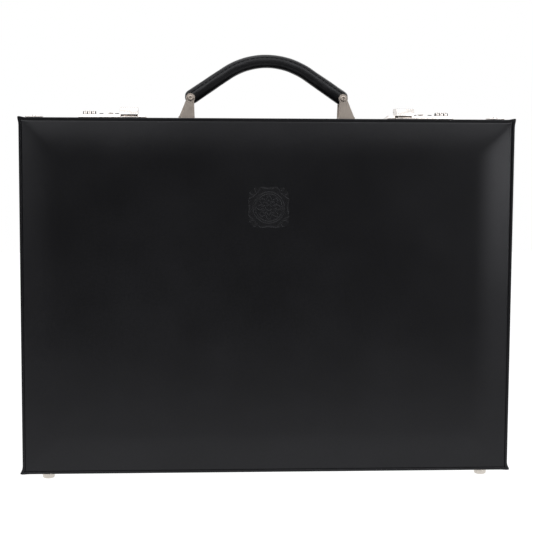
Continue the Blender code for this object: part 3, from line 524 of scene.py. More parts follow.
def face_leather(name, direction, node):
    low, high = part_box(node)
    crest = low.y if direction < 0 else high.y
    edge = direction * (abs(back_rim) - COVER_RECESS)
    rise = crest - edge
    half_z = HALF_HEIGHT - COVER_INSET

    def surface(x, z):
        share = crown_share(x, z, high.x, half_z, CROWN_WIDTH)
        border_distance = min(high.x - abs(x), half_z - abs(z - MIDDLE))
        roll = max(0.0, 1 - border_distance / EDGE_ROLL) ** 2
        calm = min(max((math.hypot(x, z - MARK_Z) - MARK_CALM) / MARK_CALM, 0.0), 1.0)
        uneven = noise.noise(Vector((x, direction, z)) / UNEVENNESS_SPAN) * UNEVENNESS * share * calm
        return edge + rise * share - direction * (EDGE_ROLL_DROP * roll + UNEVENNESS) + direction * uneven

    leather = crowned_sheet(name, direction, high.x, half_z, PANEL_COLUMNS, PANEL_ROWS, surface)
    modify(leather, "SOLIDIFY", thickness=COVER_THICKNESS, offset=-1)
    return leather


def press_mark(leather):
    """Divides the leather finely where the mark goes, sinks its lines and marks the place as pressed."""
    reach = MARK_HALF + MARK_MARGIN
    with shaping(leather):
        pick(leather, "FACE", lambda face: face.normal.y < -0.9 and abs(middle_of(face).x) < reach
             and abs(middle_of(face).z - MARK_Z) < reach)
        bpy.ops.mesh.subdivide(number_cuts=MARK_CUTS)
    pressed = leather.data.attributes.new("pressed", "FLOAT", "POINT")
    for corner, amount in zip(leather.data.vertices, pressed.data):
        if corner.select:
            across, up = corner.co.x, corner.co.z - MARK_Z
            amount.value = mark_share(across, up)
            corner.co.y += MARK_DEPTH * mark_depth(across, up) * amount.value
    leather.data.update()


calf_material = box_calf("black_box_calf", (0.0031, 0.0031, 0.0036), 0.25, 0.31, 0.016 * MM)
lid_leather = face_leather("lid_face_leather", -1, "lid_front_cover")
press_mark(lid_leather)
body_leather = face_leather("body_face_leather", 1, "body_back_cover")
covers = ((lid_leather, "lid", "lid_front_cover"), (body_leather, "body", "body_back_cover"))
for leather, body, node in covers:
    smooth(leather, 50)
    hand_over(leather, calf_material, body, "case_leather", node)


# ================================================================ rim bindings
# A strip of the same calf is folded over each rim and glued down, its corners pinched into small points.
# The groove that it leaves along the face leather frames the panel.
BOARD_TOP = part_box("lid_shell")[1].z
BINDING_WALL = rim_high.z - BOARD_TOP
CORNER_RADIUS = 2.5 * MM
CORNER_STEPS = 6
BINDING_EDGE = 0.5 * MM
POINT_REACH = 7.0 * MM
POINT_OUT_TOP = (1.9 * MM, 2.0 * MM)
POINT_OUT_BOTTOM = (3.8 * MM, 0.8 * MM)
INNER_PULL = 0.35
PULL_FADE = 0.75
CORNER_CUTS = (3.5, 5, 7, 9, 12, 18, 30)


def band(name, inset, front, back, wall, radius):
    """A closed band that follows the case's outline at an inset from it, between two depths."""
    low = (inset - HALF_WIDTH, front, rim_low.z + inset)
    high = (HALF_WIDTH - inset, back, rim_high.z - inset)
    ring = block(name, low, high)
    with shaping(ring):
        pick(ring, "FACE", lambda face: abs(face.normal.y) > 0.9)
        bpy.ops.mesh.delete(type="ONLY_FACE")
        pick(ring, "EDGE", lambda edge: runs(edge, 1))
        bpy.ops.mesh.bevel(offset=radius, segments=CORNER_STEPS, affect="EDGES")
    modify(ring, "SOLIDIFY", thickness=wall, offset=-1, use_even_offset=True)
    return ring


def cut_near_corners(ring):
    """Cuts a band across at growing distances from its corners, so that they can be worked."""
    with shaping(ring):
        for distance in CORNER_CUTS:
            for side in (-1, 1):
                bpy.ops.mesh.select_all(action="SELECT")
                plane_x = side * (HALF_WIDTH - distance * MM)
                bpy.ops.mesh.bisect(plane_co=(plane_x, 0, 0), plane_no=(1, 0, 0))
                bpy.ops.mesh.select_all(action="SELECT")
                plane_z = MIDDLE + side * (HALF_HEIGHT - distance * MM)
                bpy.ops.mesh.bisect(plane_co=(0, 0, plane_z), plane_no=(0, 0, 1))


def pinch_corners(ring, rim_y, depth):
    """Draws the outer corners out into small points, most at the rim itself."""
    def pull(corner):
        to_side = HALF_WIDTH - abs(corner.x)
        to_end = HALF_HEIGHT - abs(corner.z - MIDDLE)
        share = max(0.0, 1 - max(to_side, to_end) / POINT_REACH) ** 2
        near_edge = min(to_side, to_end) < BINDING_WALL / 2
        outer = 1.0 if near_edge or max(to_side, to_end) < CORNER_RADIUS else INNER_PULL
        at_rim = 1 - PULL_FADE * min(abs(corner.y - rim_y) / depth, 1.0)
        out_x, out_z = POINT_OUT_TOP if corner.z > MIDDLE else POINT_OUT_BOTTOM
        strength = share * outer * at_rim
        shift = Vector((math.copysign(out_x, corner.x), 0, math.copysign(out_z, corner.z - MIDDLE)))
        return corner + shift * strength

    reshape(ring, pull)


for body, rim_y in (("lid", rim_low.y), ("body", back_rim)):
    low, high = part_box(f"{body}_binding")
    binding = band(f"{body}_rim_leather", 0.0, low.y, high.y, BINDING_WALL, CORNER_RADIUS)
    round_edges(binding, BINDING_EDGE, 4, 50)
    cut_near_corners(binding)
    pinch_corners(binding, rim_y, high.y - low.y)
    smooth(binding, 60)
    hand_over(binding, calf_material, body, "case_leather", f"{body}_binding")


# ================================================================ side leather
# A band of calf covers the walls of each tray from under the binding to the mouth, its free edge turned in.
# The wells of the locks are cut through the body's.
SIDES = {"left": -1, "right": 1}
SIDE_EDGE = 0.55 * MM
WELL_CLEARANCE = 0.3 * MM
DIAL_CASE_WALL = 1.5 * MM
DIAL_CASE_END = 2.0 * MM
DIAL_SLOT_CLEARANCE = 0.4 * MM


def carve(piece, tool, operation="DIFFERENCE"):
    """Cuts a tool's shape out of a piece, or adds it, and takes the tool away."""
    modify(piece, "BOOLEAN", operation=operation, object=tool, solver="EXACT")
    bpy.data.objects.remove(tool, do_unlink=True)


def mirrored(piece, name):
    """The same piece for the other end of the case, with its own mesh."""
    twin = piece.copy()
    twin.data = piece.data.copy()
    twin.name = name
    twin.data.name = name
    bpy.context.scene.collection.objects.link(twin)
    twin.data.transform(Matrix.Scale(-1, 4, (1, 0, 0)))
    twin.data.flip_normals()
    return twin


def both_sides(stem, model, material, body, slot, *nodes):
    """Hands over a piece modelled on the right and its mirrored twin on the left."""
    twin = mirrored(model, f"{stem}_left")
    model.name = f"{stem}_right"
    for piece, name in ((model, "right"), (twin, "left")):
        stands_for = [node.format(side=name) for node in nodes]
        hand_over(piece, material, body.format(side=name), slot, *stands_for)


LOCK_LOW, LOCK_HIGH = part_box("lock_housing_right")
DIAL_BOXES = [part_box(f"dial_right_{number}") for number in (1, 2, 3)]
dial_centre = (DIAL_BOXES[1][0] + DIAL_BOXES[1][1]) / 2
dial_radius = (DIAL_BOXES[0][1].y - DIAL_BOXES[0][0].y) / 2
case_low_x = min(box[0].x for box in DIAL_BOXES) - DIAL_CASE_END
case_high_x = max(box[1].x for box in DIAL_BOXES) + DIAL_CASE_END
case_half_depth = dial_radius + DIAL_SLOT_CLEARANCE + DIAL_CASE_WALL
for body in ("lid", "body"):
    low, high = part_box(f"{body}_side_wrap")
    inset = HALF_WIDTH - high.x
    wall = high.z - BOARD_TOP
    wrap = band(f"{body}_side_leather", inset, low.y, high.y, wall, CORNER_RADIUS - inset)
    if body == "body":
        half_depth = case_half_depth + WELL_CLEARANCE
        for side in SIDES.values():
            ends = (side * (case_low_x - WELL_CLEARANCE), side * (case_high_x + WELL_CLEARANCE))
            well = block("well", (min(ends), dial_centre.y - half_depth, LOCK_LOW.z),
                         (max(ends), dial_centre.y + half_depth, LOCK_HIGH.z))
            carve(wrap, well)
    round_edges(wrap, SIDE_EDGE, 3, 50)
    smooth(wrap, 60)
    hand_over(wrap, calf_material, body, "case_leather", f"{body}_side_wrap")


# ================================================================ mouth frames
# Extruded aluminium edges are pressed round both mouths and mitred at the corners. The body's has a tongue
# that stands into the lid and keeps dust out. They are brushed along their length and clear anodised.
FRAME_EDGE = 0.22 * MM
FRAME_RADIUS = 0.8 * MM
LID_FLANGE = 5.5 * MM
BODY_FLANGE = 7.2 * MM
BODY_FLANGE_THICKNESS = 1.8 * MM
TONGUE_INSET = 8.3 * MM
TONGUE_WALL = 1.2 * MM


def brushed_metal(name, colour, roughness, stretch, wear=0.10):
    """Metal with fine brush lines; the stretch is small along the lines and 1 across them."""
    metal = Finish(name, {"Metallic": 1.0})
    lines = metal.speckle(0.35 * MM, 3, 0.6, metal.place(stretch))
    smudges = metal.speckle(9 * MM, 3, 0.6)
    bright = metal.step(lines * 0.7 + smudges * 0.3, 0.3, 0.65)
    tone = metal.mix([0.86 * part for part in colour], colour, bright)
    return metal.paint(base_color=tone, roughness=roughness + (lines - 0.5) * 0.16 + (smudges - 0.5) * wear,
                       normal=metal.relief(lines, 0.012 * MM))


aluminium_material = brushed_metal("satin_aluminium", (0.74, 0.75, 0.76), 0.33, (0.06, 1, 0.06))
low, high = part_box("lid_mouth_frame")
inset = HALF_WIDTH - high.x
lid_frame = band("lid_mouth_edge", inset, low.y, high.y, LID_FLANGE, FRAME_RADIUS)
round_edges(lid_frame, FRAME_EDGE, 2, 50)
smooth(lid_frame, 50)
hand_over(lid_frame, aluminium_material, "lid", "frame_aluminium", "lid_mouth_frame")

low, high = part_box("body_mouth_frame")
body_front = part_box("body_side_wrap")[0].y
flange_back = body_front + BODY_FLANGE_THICKNESS
body_frame = band("body_mouth_edge", inset, body_front, flange_back, BODY_FLANGE, FRAME_RADIUS)
tongue = band("tongue", TONGUE_INSET, low.y, high.y, TONGUE_WALL, FRAME_RADIUS)
carve(body_frame, tongue, "UNION")
round_edges(body_frame, FRAME_EDGE, 2, 50)
smooth(body_frame, 50)
hand_over(body_frame, aluminium_material, "body", "frame_aluminium", "body_mouth_frame")


# ================================================================ linings
# Charcoal suede cloth is laid over thin card and glued into each tray: walls first, then a floor panel, so
# the corners are softly rounded and the floor is a little padded.
LINING_CORNER = 5 * MM
LINING_WALL = 1.2 * MM
LINING_SWELL = 0.9 * MM
LINING_FLOOR_BORDER = 9 * MM
LINING_SWELL_WIDTH = 14 * MM
LINING_CUTS = 46


def suede_finish():
    suede = Finish("charcoal_suede", {
        "Roughness": 0.96, "Specular IOR Level": 0.15,
        "Sheen Weight": 0.35, "Sheen Roughness": 0.5, "Sheen Tint": (0.5, 0.5, 0.55)})
    nap = suede.speckle(0.5 * MM, 5, 0.7)
    brushed = suede.speckle(26 * MM, 4, 0.6, suede.place((1, 1, 0.45)))
    lie = suede.step(nap * 0.55 + brushed * 0.45, 0.25, 0.75)
    tone = suede.mix((0.026, 0.026, 0.029), (0.046, 0.046, 0.050), lie)
    return suede.paint(base_color=tone, normal=suede.relief(nap, 0.12 * MM))


suede_material = suede_finish()
for body, direction in (("lid", -1), ("body", 1)):
    low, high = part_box(f"{body}_lining")
    tray = block(f"{body}_suede_lining", low, high)
    with shaping(tray):
        pick(tray, "FACE", lambda face: face.normal.y * direction < -0.9)
        bpy.ops.mesh.delete(type="FACE")
    bevel_edges(tray, lambda edge: len(edge.link_faces) == 2, LINING_CORNER, 6)
    modify(tray, "SOLIDIFY", thickness=LINING_WALL, offset=-1)
    floor_y = (low.y + LINING_WALL) if direction < 0 else (high.y - LINING_WALL)
    with shaping(tray):
        pick(tray, "FACE", lambda face: face.normal.y * direction < -0.99 and face.calc_area() > 0.05)
        bpy.ops.mesh.inset(thickness=LINING_FLOOR_BORDER, depth=0)
        bpy.ops.mesh.subdivide(number_cuts=LINING_CUTS)

    def swell(corner):
        border = LINING_CORNER + LINING_FLOOR_BORDER
        to_side = high.x - border - abs(corner.x)
        to_end = (high.z - low.z) / 2 - border - abs(corner.z - MIDDLE)
        inside = min(to_side, to_end)
        if abs(corner.y - floor_y) > 0.1 * MM or inside <= 0:
            return corner
        share = min(inside / LINING_SWELL_WIDTH, 1.0)
        rise = LINING_SWELL * math.sin(share * math.pi / 2)
        return corner + Vector((0, -direction * rise, 0))

    reshape(tray, swell)
    smooth(tray, 40)
    hand_over(tray, suede_material, body, "lining_cloth", f"{body}_lining")


# ================================================================ file pocket
# A flat document pocket of the lining cloth stands against the lid: a stiffened front, closed sides and
# bottom, and a leather strip sewn over its top edge with two rows of stitches.
POCKET_CORNER = 2.2 * MM
POCKET_WALL = 1.1 * MM
TRIM_END = 1.0 * MM
TRIM_FIT = 0.05 * MM
TRIM_SEAM = 2.0 * MM
STITCHED_END = 12 * MM
TRIM_HEIGHT = 13 * MM
TRIM_STAND = 0.7 * MM
STITCH_PITCH = 4.2 * MM
STITCH_LENGTH = 3.0 * MM
STITCH_RADIUS = 0.32 * MM


def thread_finish():
    thread = Finish("waxed_thread", {"Roughness": 0.55, "Specular IOR Level": 0.4})
    twist = thread.node("ShaderNodeTexWave", {"bands_direction": "DIAGONAL"},
                        {"Vector": thread.place(), "Scale": 900.0, "Distortion": 0.5}, "Fac")
    tone = thread.mix((0.010, 0.010, 0.011), (0.035, 0.035, 0.037), twist)
    return thread.paint(base_color=tone, normal=thread.relief(twist, 0.06 * MM))


def stitch(name, length, radius):
    """One stitch lying along X: a short rounded thread, a few dozen faces."""
    return begin(name, bpy.ops.mesh.primitive_uv_sphere_add, segments=8, ring_count=6, radius=1,
                 scale=(length / 2, radius, radius))


def join_parts(whole, parts):
    """Makes parts one mesh with a piece."""
    solo(whole)
    for part in parts:
        part.select_set(True)
    bpy.ops.object.join()
    return whole


def copy_at(piece, name, matrix):
    """A copy with its own mesh, moved as a matrix says."""
    twin = piece.copy()
    twin.data = piece.data.copy()
    twin.name = name
    bpy.context.scene.collection.objects.link(twin)
    twin.data.transform(matrix)
    return twin


def stitch_row(name, places):
    """A row of stitches, one at each matrix, as one mesh."""
    model = stitch(name, STITCH_LENGTH, STITCH_RADIUS)
    copies = [copy_at(model, f"{name}_{index}", place) for index, place in enumerate(places[1:])]
    model.data.transform(places[0])
    join_parts(model, copies)
    smooth(model, 60)
    return model


thread_material = thread_finish()
low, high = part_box("lid_file_pocket")
pocket = block("lid_pocket_cloth", low, high)
with shaping(pocket):
    pick(pocket, "FACE", lambda face: face.normal.z > 0.9)
    bpy.ops.mesh.delete(type="FACE")
bevel_edges(pocket, lambda edge: len(edge.link_faces) == 2 and middle_of(edge).y > high.y - 0.1 * MM,
            POCKET_CORNER, 5)
modify(pocket, "SOLIDIFY", thickness=POCKET_WALL, offset=-1)
smooth(pocket, 40)
hand_over(pocket, suede_material, "lid", "lining_cloth", "lid_file_pocket")

trim = block("lid_pocket_trim",
             (low.x + TRIM_END, high.y - POCKET_WALL - TRIM_STAND, high.z - TRIM_HEIGHT),
             (high.x - TRIM_END, high.y + TRIM_STAND, high.z + TRIM_STAND))
slot_tool = block("slot", (low.x, high.y - POCKET_WALL - TRIM_FIT, low.z),
                  (high.x, high.y + TRIM_FIT, high.z + TRIM_FIT))
carve(trim, slot_tool)
round_edges(trim, 0.3 * MM, 3, 50)
smooth(trim, 50)
hand_over(trim, calf_material, "lid", "case_leather")
rows = []
count = int((high.x - low.x - STITCHED_END) / STITCH_PITCH)
for row_z in (high.z - TRIM_SEAM, high.z - TRIM_HEIGHT + TRIM_SEAM):
    for index in range(count):
        x = -STITCH_PITCH * (count - 1) / 2 + STITCH_PITCH * index
        rows.append(Matrix.Translation((x, high.y + TRIM_STAND, row_z)))
pocket_stitches = stitch_row("lid_pocket_stitches", rows)
hand_over(pocket_stitches, thread_material, "lid", "case_leather")


# ================================================================ piano hinge
# A nickel-plated hinge runs under the case, one leaf riveted to each half, with alternate knuckles rolled
# round one long steel pin.
KNUCKLES = 13
KNUCKLE_GAP = 0.3 * MM
LEAF_THICKNESS = 0.8 * MM
RIVET_RADIUS = 1.5 * MM
RIVETS = 9
RIVET_FROM_EDGE = 3.0 * MM
WEB_REACH = 0.6 * MM


def bright_plate(name, colour, roughness):
    """Polished nickel plate: faint wipe marks and a few hairline scratches."""
    plate = Finish(name, {"Metallic": 1.0})
    wiped = plate.speckle(14 * MM, 4, 0.6)
    hairs = plate.speckle(0.25 * MM, 2, 0.5, plate.place((0.05, 1, 1), (0, 0, 0.4)))
    scratch = plate.step(hairs, 0.66, 0.74)
    tone = plate.mix(colour, [0.93 * part for part in colour], plate.step(wiped, 0.4, 0.75))
    return plate.paint(base_color=tone, roughness=roughness + (wiped - 0.5) * 0.10 + scratch * 0.10,
                       normal=plate.relief(scratch, 0.004 * MM))


def rod(name, radius, axis, start, end, centre, sides=40):
    """A cylinder round an axis through centre, 0 for X to 2 for Z, from start to end along it."""
    place = Vector(centre)
    place[axis] = (start + end) / 2
    turn = ((0, math.pi / 2, 0), (math.pi / 2, 0, 0), (0, 0, 0))[axis]
    return begin(name, bpy.ops.mesh.primitive_cylinder_add, vertices=sides, radius=radius,
                 depth=abs(end - start), location=place, rotation=turn)


nickel_material = bright_plate("bright_nickel", (0.80, 0.755, 0.725), 0.24)
pin_low, pin_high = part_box("hinge_pin")
hinge_y = (pin_low.y + pin_high.y) / 2
hinge_z = (pin_low.z + pin_high.z) / 2
knuckle = (pin_high.x - pin_low.x) / KNUCKLES
for body, direction in (("lid", -1), ("body", 1)):
    low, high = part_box(f"{body}_hinge_leaf")
    barrel = hinge_z - low.z
    leaf_edge = low.y if direction < 0 else high.y
    near, far = sorted((hinge_y + direction * (barrel + 0.2 * MM), leaf_edge))
    leaf = block(f"{body}_hinge_plate", (low.x, near, high.z - LEAF_THICKNESS), (high.x, far, high.z))
    round_edges(leaf, 0.2 * MM, 2, 50)
    parts = []
    for index in range(0 if direction > 0 else 1, KNUCKLES, 2):
        start = low.x + index * knuckle + KNUCKLE_GAP / 2
        end = start + knuckle - KNUCKLE_GAP
        roll = rod(f"roll_{index}", barrel, 0, start, end, (0, hinge_y, hinge_z), 28)
        round_edges(roll, 0.18 * MM, 2, 50)
        web_y = sorted((hinge_y, hinge_y + direction * (barrel + WEB_REACH)))
        web = block(f"web_{index}", (start, web_y[0], high.z - LEAF_THICKNESS),
                    (end, web_y[1], high.z - 0.05 * MM))
        round_edges(web, 0.12 * MM, 1, 50)
        parts += [roll, web]
    for index in range(RIVETS):
        x = low.x + (high.x - low.x) * (index + 0.5) / RIVETS
        y = leaf_edge - direction * RIVET_FROM_EDGE
        head_z = high.z - LEAF_THICKNESS - 0.5 * MM
        head = rod(f"rivet_{index}", RIVET_RADIUS, 2, head_z, high.z - 0.2 * MM, (x, y, 0), 24)
        round_edges(head, 0.4 * MM, 3, 50)
        parts.append(head)
    join_parts(leaf, parts)
    smooth(leaf)
    hand_over(leaf, nickel_material, body, "bright_nickel", f"{body}_hinge_leaf")

steel_material = brushed_metal("zinc_steel", (0.60, 0.61, 0.63), 0.36, (1, 1, 0.1), 0.18)
refinish(steel_material, "hinge_pin", "handle_core", "dial_axle_left", "dial_axle_right",
         "hasp_pin_left", "hasp_pin_right")


# ================================================================ feet
# Four turned brass feet, nickel plated, are riveted through the bottom: a flange against the leather and a
# stud with a rounded sole.
SOLE_BORDER = 0.9 * MM
SOLE_RISE = 0.935 * MM
FLANGE_REACH = 0.5 * MM
FLANGE_THICKNESS = 0.9 * MM


def foot_model(node):
    low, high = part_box(node)
    centre = (low + high) / 2
    radius = (high.x - low.x) / 2
    flange_z = rim_low.z + 0.1 * MM
    foot = rod("foot", radius, 2, low.z, flange_z, centre, 56)
    with shaping(foot):
        pick(foot, "FACE", lambda face: face.normal.z < -0.9)
        bpy.ops.mesh.inset(thickness=SOLE_BORDER)
    shift_corners(foot, lambda corner: math.dist(corner.co.xy, centre.xy) > radius * 0.95
                  and corner.co.z < low.z + 0.1 * MM, (0, 0, SOLE_RISE))
    round_edges(foot, 0.55 * MM, 5, 30)
    flange = rod("flange", radius + FLANGE_REACH, 2, flange_z - FLANGE_THICKNESS, flange_z, centre, 56)
    round_edges(flange, 0.3 * MM, 3, 50)
    return join_parts(foot, [flange])


foot_material = bright_plate("foot_nickel", (0.62, 0.58, 0.53), 0.34)
for body in ("lid", "body"):
    foot = foot_model(f"{body}_foot_right")
    smooth(foot, 50)
    both_sides(f"{body}_foot_stud", foot, foot_material, body, "bright_nickel", body + "_foot_{side}")


# ================================================================ corner plates
# A small nickel plate with rounded corners is riveted to the top of the body at each end, against the
# mouth.
low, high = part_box("corner_plate_right")
PLATE_THICKNESS = 1.2 * MM
PLATE_CORNER = 2.0 * MM
plate = block("corner", low, (high.x, high.y, low.z + PLATE_THICKNESS))
bevel_edges(plate, lambda edge: runs(edge, 2), PLATE_CORNER, 6)
round_edges(plate, 0.35 * MM, 3, 50)
rivet = rod("corner_rivet", 2.1 * MM, 2, low.z + 0.5 * MM, high.z, (low + high) / 2, 36)
round_edges(rivet, 0.75 * MM, 4, 50)
join_parts(plate, [rivet])
smooth(plate, 40)
both_sides("corner_plate_nickel", plate, nickel_material, "body", "bright_nickel", "corner_plate_{side}")


# ================================================================ handle brackets
# Each end of the handle is held by a clevis of satin nickel: two tapered cheeks with round heads on one
# base, screwed down through the top.
CHEEK = 1.5 * MM
HEAD_RADIUS = 4.1 * MM
NECK = 3.2 * MM
WEB = 1.6 * MM
WEB_INSET = 0.4 * MM
satin_material = brushed_metal("satin_nickel", (0.46, 0.405, 0.36), 0.48, (1, 1, 0.07))
low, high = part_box("handle_bracket_right")
low.z = rim_high.z - 0.2 * MM
pin_low, pin_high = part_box("handle_pin_right")
pin_x = (pin_low.x + pin_high.x) / 2
pin_z = (pin_low.z + pin_high.z) / 2
HANDLE_Y = (pin_low.y + pin_high.y) / 2


def make_cheek(name, front):
    """One cheek: a slab tapered towards its top, with a round head a little wider than its neck."""
    slab = block(name, (low.x, front, low.z), (high.x, front + CHEEK, pin_z))
    top_z = pin_z - 0.1 * MM
    shift_corners(slab, lambda corner: corner.co.z > top_z and corner.co.x > pin_x,
                  (pin_x + NECK - high.x, 0, 0))
    shift_corners(slab, lambda corner: corner.co.z > top_z and corner.co.x < pin_x,
                  (pin_x - NECK - low.x, 0, 0))
    carve(slab, rod("head", HEAD_RADIUS, 1, front, front + CHEEK, (pin_x, 0, pin_z), 56), "UNION")
    return slab


bracket = make_cheek("bracket", low.y)
rear_cheek = make_cheek("rear_cheek", high.y - CHEEK)
web = block("web", (low.x, low.y + WEB_INSET, low.z), (high.x, high.y - WEB_INSET, low.z + WEB))
carve(bracket, rear_cheek, "UNION")
carve(bracket, web, "UNION")
round_edges(bracket, 0.28 * MM, 3, 40)
smooth(bracket, 40)
both_sides("handle_clevis", bracket, satin_material, "body", "satin_nickel", "handle_bracket_{side}")


# ================================================================ handle pins
# A headed steel pin goes through both cheeks, the grip and the strap inside it, and is peened at the back,
# which leaves a small hollow in the middle of each head.
PIN_HEAD_RADIUS = 2.5 * MM
PIN_HEAD = 1.1 * MM
SHANK_RADIUS = 1.4 * MM
SHANK_END = 0.8 * MM


def pin_head(name, front, towards):
    """A low domed head with a small hollow, on the cheek's outer face."""
    ends = sorted((front, front + towards * PIN_HEAD))
    head = rod(name, PIN_HEAD_RADIUS, 1, *ends, (pin_x, 0, pin_z), 40)
    with shaping(head):
        pick(head, "FACE", lambda face: face.normal.y * towards > 0.9)
        bpy.ops.mesh.inset(thickness=0.7 * MM)
        bpy.ops.transform.translate(value=(0, towards * 0.15 * MM, 0))
        bpy.ops.mesh.inset(thickness=0.85 * MM)
        bpy.ops.mesh.inset(thickness=0.12 * MM)
        bpy.ops.transform.translate(value=(0, -towards * PIN_HEAD, 0))
    round_edges(head, 0.12 * MM, 2, 35)
    return head


shank = rod("pin", SHANK_RADIUS, 1, pin_low.y + SHANK_END, pin_high.y - SHANK_END, (pin_x, 0, pin_z), 32)
join_parts(shank, [pin_head("front_head", low.y, -1), pin_head("rear_head", high.y, 1)])
smooth(shank, 40)
both_sides("handle_cross_pin", shank, satin_material, "body", "satin_nickel", "handle_pin_{side}")


# ================================================================ handle grip
# The grip is calf wrapped over a moulded core round a steel strap: an upper and a lower skin meet in a sunk
# seam along each side, and the ends are tucked in between the cheeks. It is modelled straight, then bowed.
ARCH_RADIUS = 66 * MM
ARM_SLOPE = math.radians(34)
GRIP_HALF_WIDTH = 7.0 * MM
GRIP_HALF_HEIGHT = 6.1 * MM
GRIP_END_HEIGHT = 6.7 * MM
GRIP_OVERHANG = 3.6 * MM
GRIP_TUCK = 5.5 * MM
GRIP_DOME = 1.2 * MM
UNSTITCHED_END = 9 * MM
GRIP_RINGS = 190
GRIP_SIDES = 72
SEAM_ANGLE = math.radians(31)
SEAM_WIDTH = math.radians(6.5)
SEAM_DEPTH = 0.62 * MM
SEAM_STEP = 0.22 * MM
GRIP_SQUARENESS = 0.86
WRINKLE = 0.16 * MM

span_half = pin_x
arm_run = span_half - ARCH_RADIUS * math.sin(ARM_SLOPE)
arm_length = arm_run / math.cos(ARM_SLOPE)
half_arch = ARCH_RADIUS * ARM_SLOPE
arch_centre = pin_z + arm_run * math.tan(ARM_SLOPE) - ARCH_RADIUS * math.cos(ARM_SLOPE)
half_grip = half_arch + arm_length + GRIP_OVERHANG


def bow(point):
    """Where a point of the straight grip goes when bowed; its X is the length along the grip."""
    along = abs(point.x)
    side = math.copysign(1, point.x)
    if along < half_arch:
        angle = along / ARCH_RADIUS
        x = math.sin(angle) * ARCH_RADIUS
        z = arch_centre + math.cos(angle) * ARCH_RADIUS
    else:
        angle = ARM_SLOPE
        beyond = along - half_arch
        x = ARCH_RADIUS * math.sin(angle) + beyond * math.cos(angle)
        z = arch_centre + ARCH_RADIUS * math.cos(angle) - beyond * math.sin(angle)
    return Vector((side * (x + point.z * math.sin(angle)), point.y, z + point.z * math.cos(angle)))


def grip_section(along, angle):
    """The grip's skin at a length along it and an angle round it, before bowing."""
    share = min(abs(along) / half_grip, 1.0)
    height = GRIP_HALF_HEIGHT + (GRIP_END_HEIGHT - GRIP_HALF_HEIGHT) * share
    tuck = max(0.0, (abs(along) - (half_grip - GRIP_TUCK)) / GRIP_TUCK)
    shrink = math.sqrt(max(0.0, 1 - (0.93 * tuck) ** 2)) if tuck else 1.0
    sine, cosine = math.sin(angle), math.cos(angle)
    up = math.copysign(abs(sine) ** GRIP_SQUARENESS, sine) * height * (0.25 + 0.75 * shrink)
    width = GRIP_HALF_WIDTH * (0.45 + 0.55 * shrink)
    across = math.copysign(abs(cosine) ** GRIP_SQUARENESS, cosine) * width
    from_seam = math.asin(abs(sine)) - SEAM_ANGLE if sine > 0 else -SEAM_ANGLE
    sunk = SEAM_DEPTH * groove(from_seam, SEAM_WIDTH)
    lower_skin = SEAM_STEP if from_seam < 0 else 0.0
    wrinkles = noise.noise(Vector((along * 90, cosine * 2.2, sine * 2.2))) * WRINKLE
    inward = (sunk + lower_skin - wrinkles) / GRIP_HALF_WIDTH
    return Vector((along, across * (1 - inward), up * (1 - inward)))


grip = begin("grip", bpy.ops.mesh.primitive_cylinder_add, vertices=GRIP_SIDES, radius=1, depth=2,
             rotation=(0, math.pi / 2, 0))
with shaping(grip):
    pick(grip, "EDGE", lambda edge: runs(edge, 0))
    bpy.ops.mesh.subdivide(number_cuts=GRIP_RINGS)
    pick(grip, "FACE", lambda face: abs(face.normal.x) > 0.9)
    for _ in range(3):
        bpy.ops.mesh.inset(thickness=0.25)
    bpy.ops.mesh.poke()


def lay_grip(corner):
    reach = math.hypot(corner.y, corner.z)
    skin = grip_section(corner.x * half_grip, math.atan2(corner.z, corner.y))
    dome = (1 - min(reach, 1.0) ** 2) * GRIP_DOME if abs(corner.x) > 0.999 else 0.0
    return bow(Vector((skin.x + math.copysign(dome, corner.x), skin.y * reach, skin.z * reach)))


reshape(grip, lay_grip)
reshape(grip, lambda corner: corner + Vector((0, HANDLE_Y, 0)))
smooth(grip, 60)
grip.name = "handle_grip_leather"
grip_material = box_calf("grip_calf", (0.0042, 0.0042, 0.0046), 0.24, 0.36, 0.03 * MM)
hand_over(grip, grip_material, "body", "grip_leather", "handle_grip")

places = []
count = int(2 * (half_grip - UNSTITCHED_END) / STITCH_PITCH)
for angle in (math.pi - SEAM_ANGLE, SEAM_ANGLE):
    for index in range(count):
        along = (index - (count - 1) / 2) * STITCH_PITCH
        here = bow(grip_section(along, angle))
        ahead = bow(grip_section(along + 1 * MM, angle))
        turn = math.atan2(ahead.z - here.z, ahead.x - here.x)
        place = Matrix.Translation(here + Vector((0, HANDLE_Y, 0)))
        places.append(place @ Matrix.Rotation(-turn, 4, "Y"))
grip_stitches = stitch_row("handle_grip_stitches", places)
hand_over(grip_stitches, thread_material, "body", "grip_leather")


# ================================================================ lock housings
# Each combination lock is a die-cast body, nickel plated, set on the top of the case: a low plate with
# sloping ends, a sunk case for the dials, a lug for the hasp and a slot for the button, held by two screws.
END_SLOPE = 3.6 * MM
PLATE_CHAMFER = 2.0 * MM
LUG_RADIUS = 1.7 * MM
LUG_FROM_END = 2.3 * MM
DIAL_SIDE_CLEARANCE = 0.28 * MM
BUTTON_TRAVEL = 3.5 * MM
BUTTON_RUN_HALF = 1.9 * MM
BUTTON_RUN_DEPTH = 2.1 * MM
SCREW_RADIUS = 1.75 * MM
SCREW_HEAD = 0.85 * MM
DRIVE_HALF = 0.25 * MM
SCREW_BEFORE_BUTTON = 3.4 * MM
SCREW_AFTER_BUTTON = 6.3 * MM
plate_top = 328.5 * MM
low, high = LOCK_LOW.copy(), LOCK_HIGH.copy()
low.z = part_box("corner_plate_right")[0].z
housing = block("housing", low, (high.x, high.y, plate_top))
near_top = plate_top - 0.1 * MM
for way, edge_x in ((END_SLOPE, low.x), (-END_SLOPE, high.x)):
    shift_corners(housing, lambda corner: corner.co.z > near_top and abs(corner.co.x - edge_x) < 0.1 * MM,
                  (way, 0, 0))
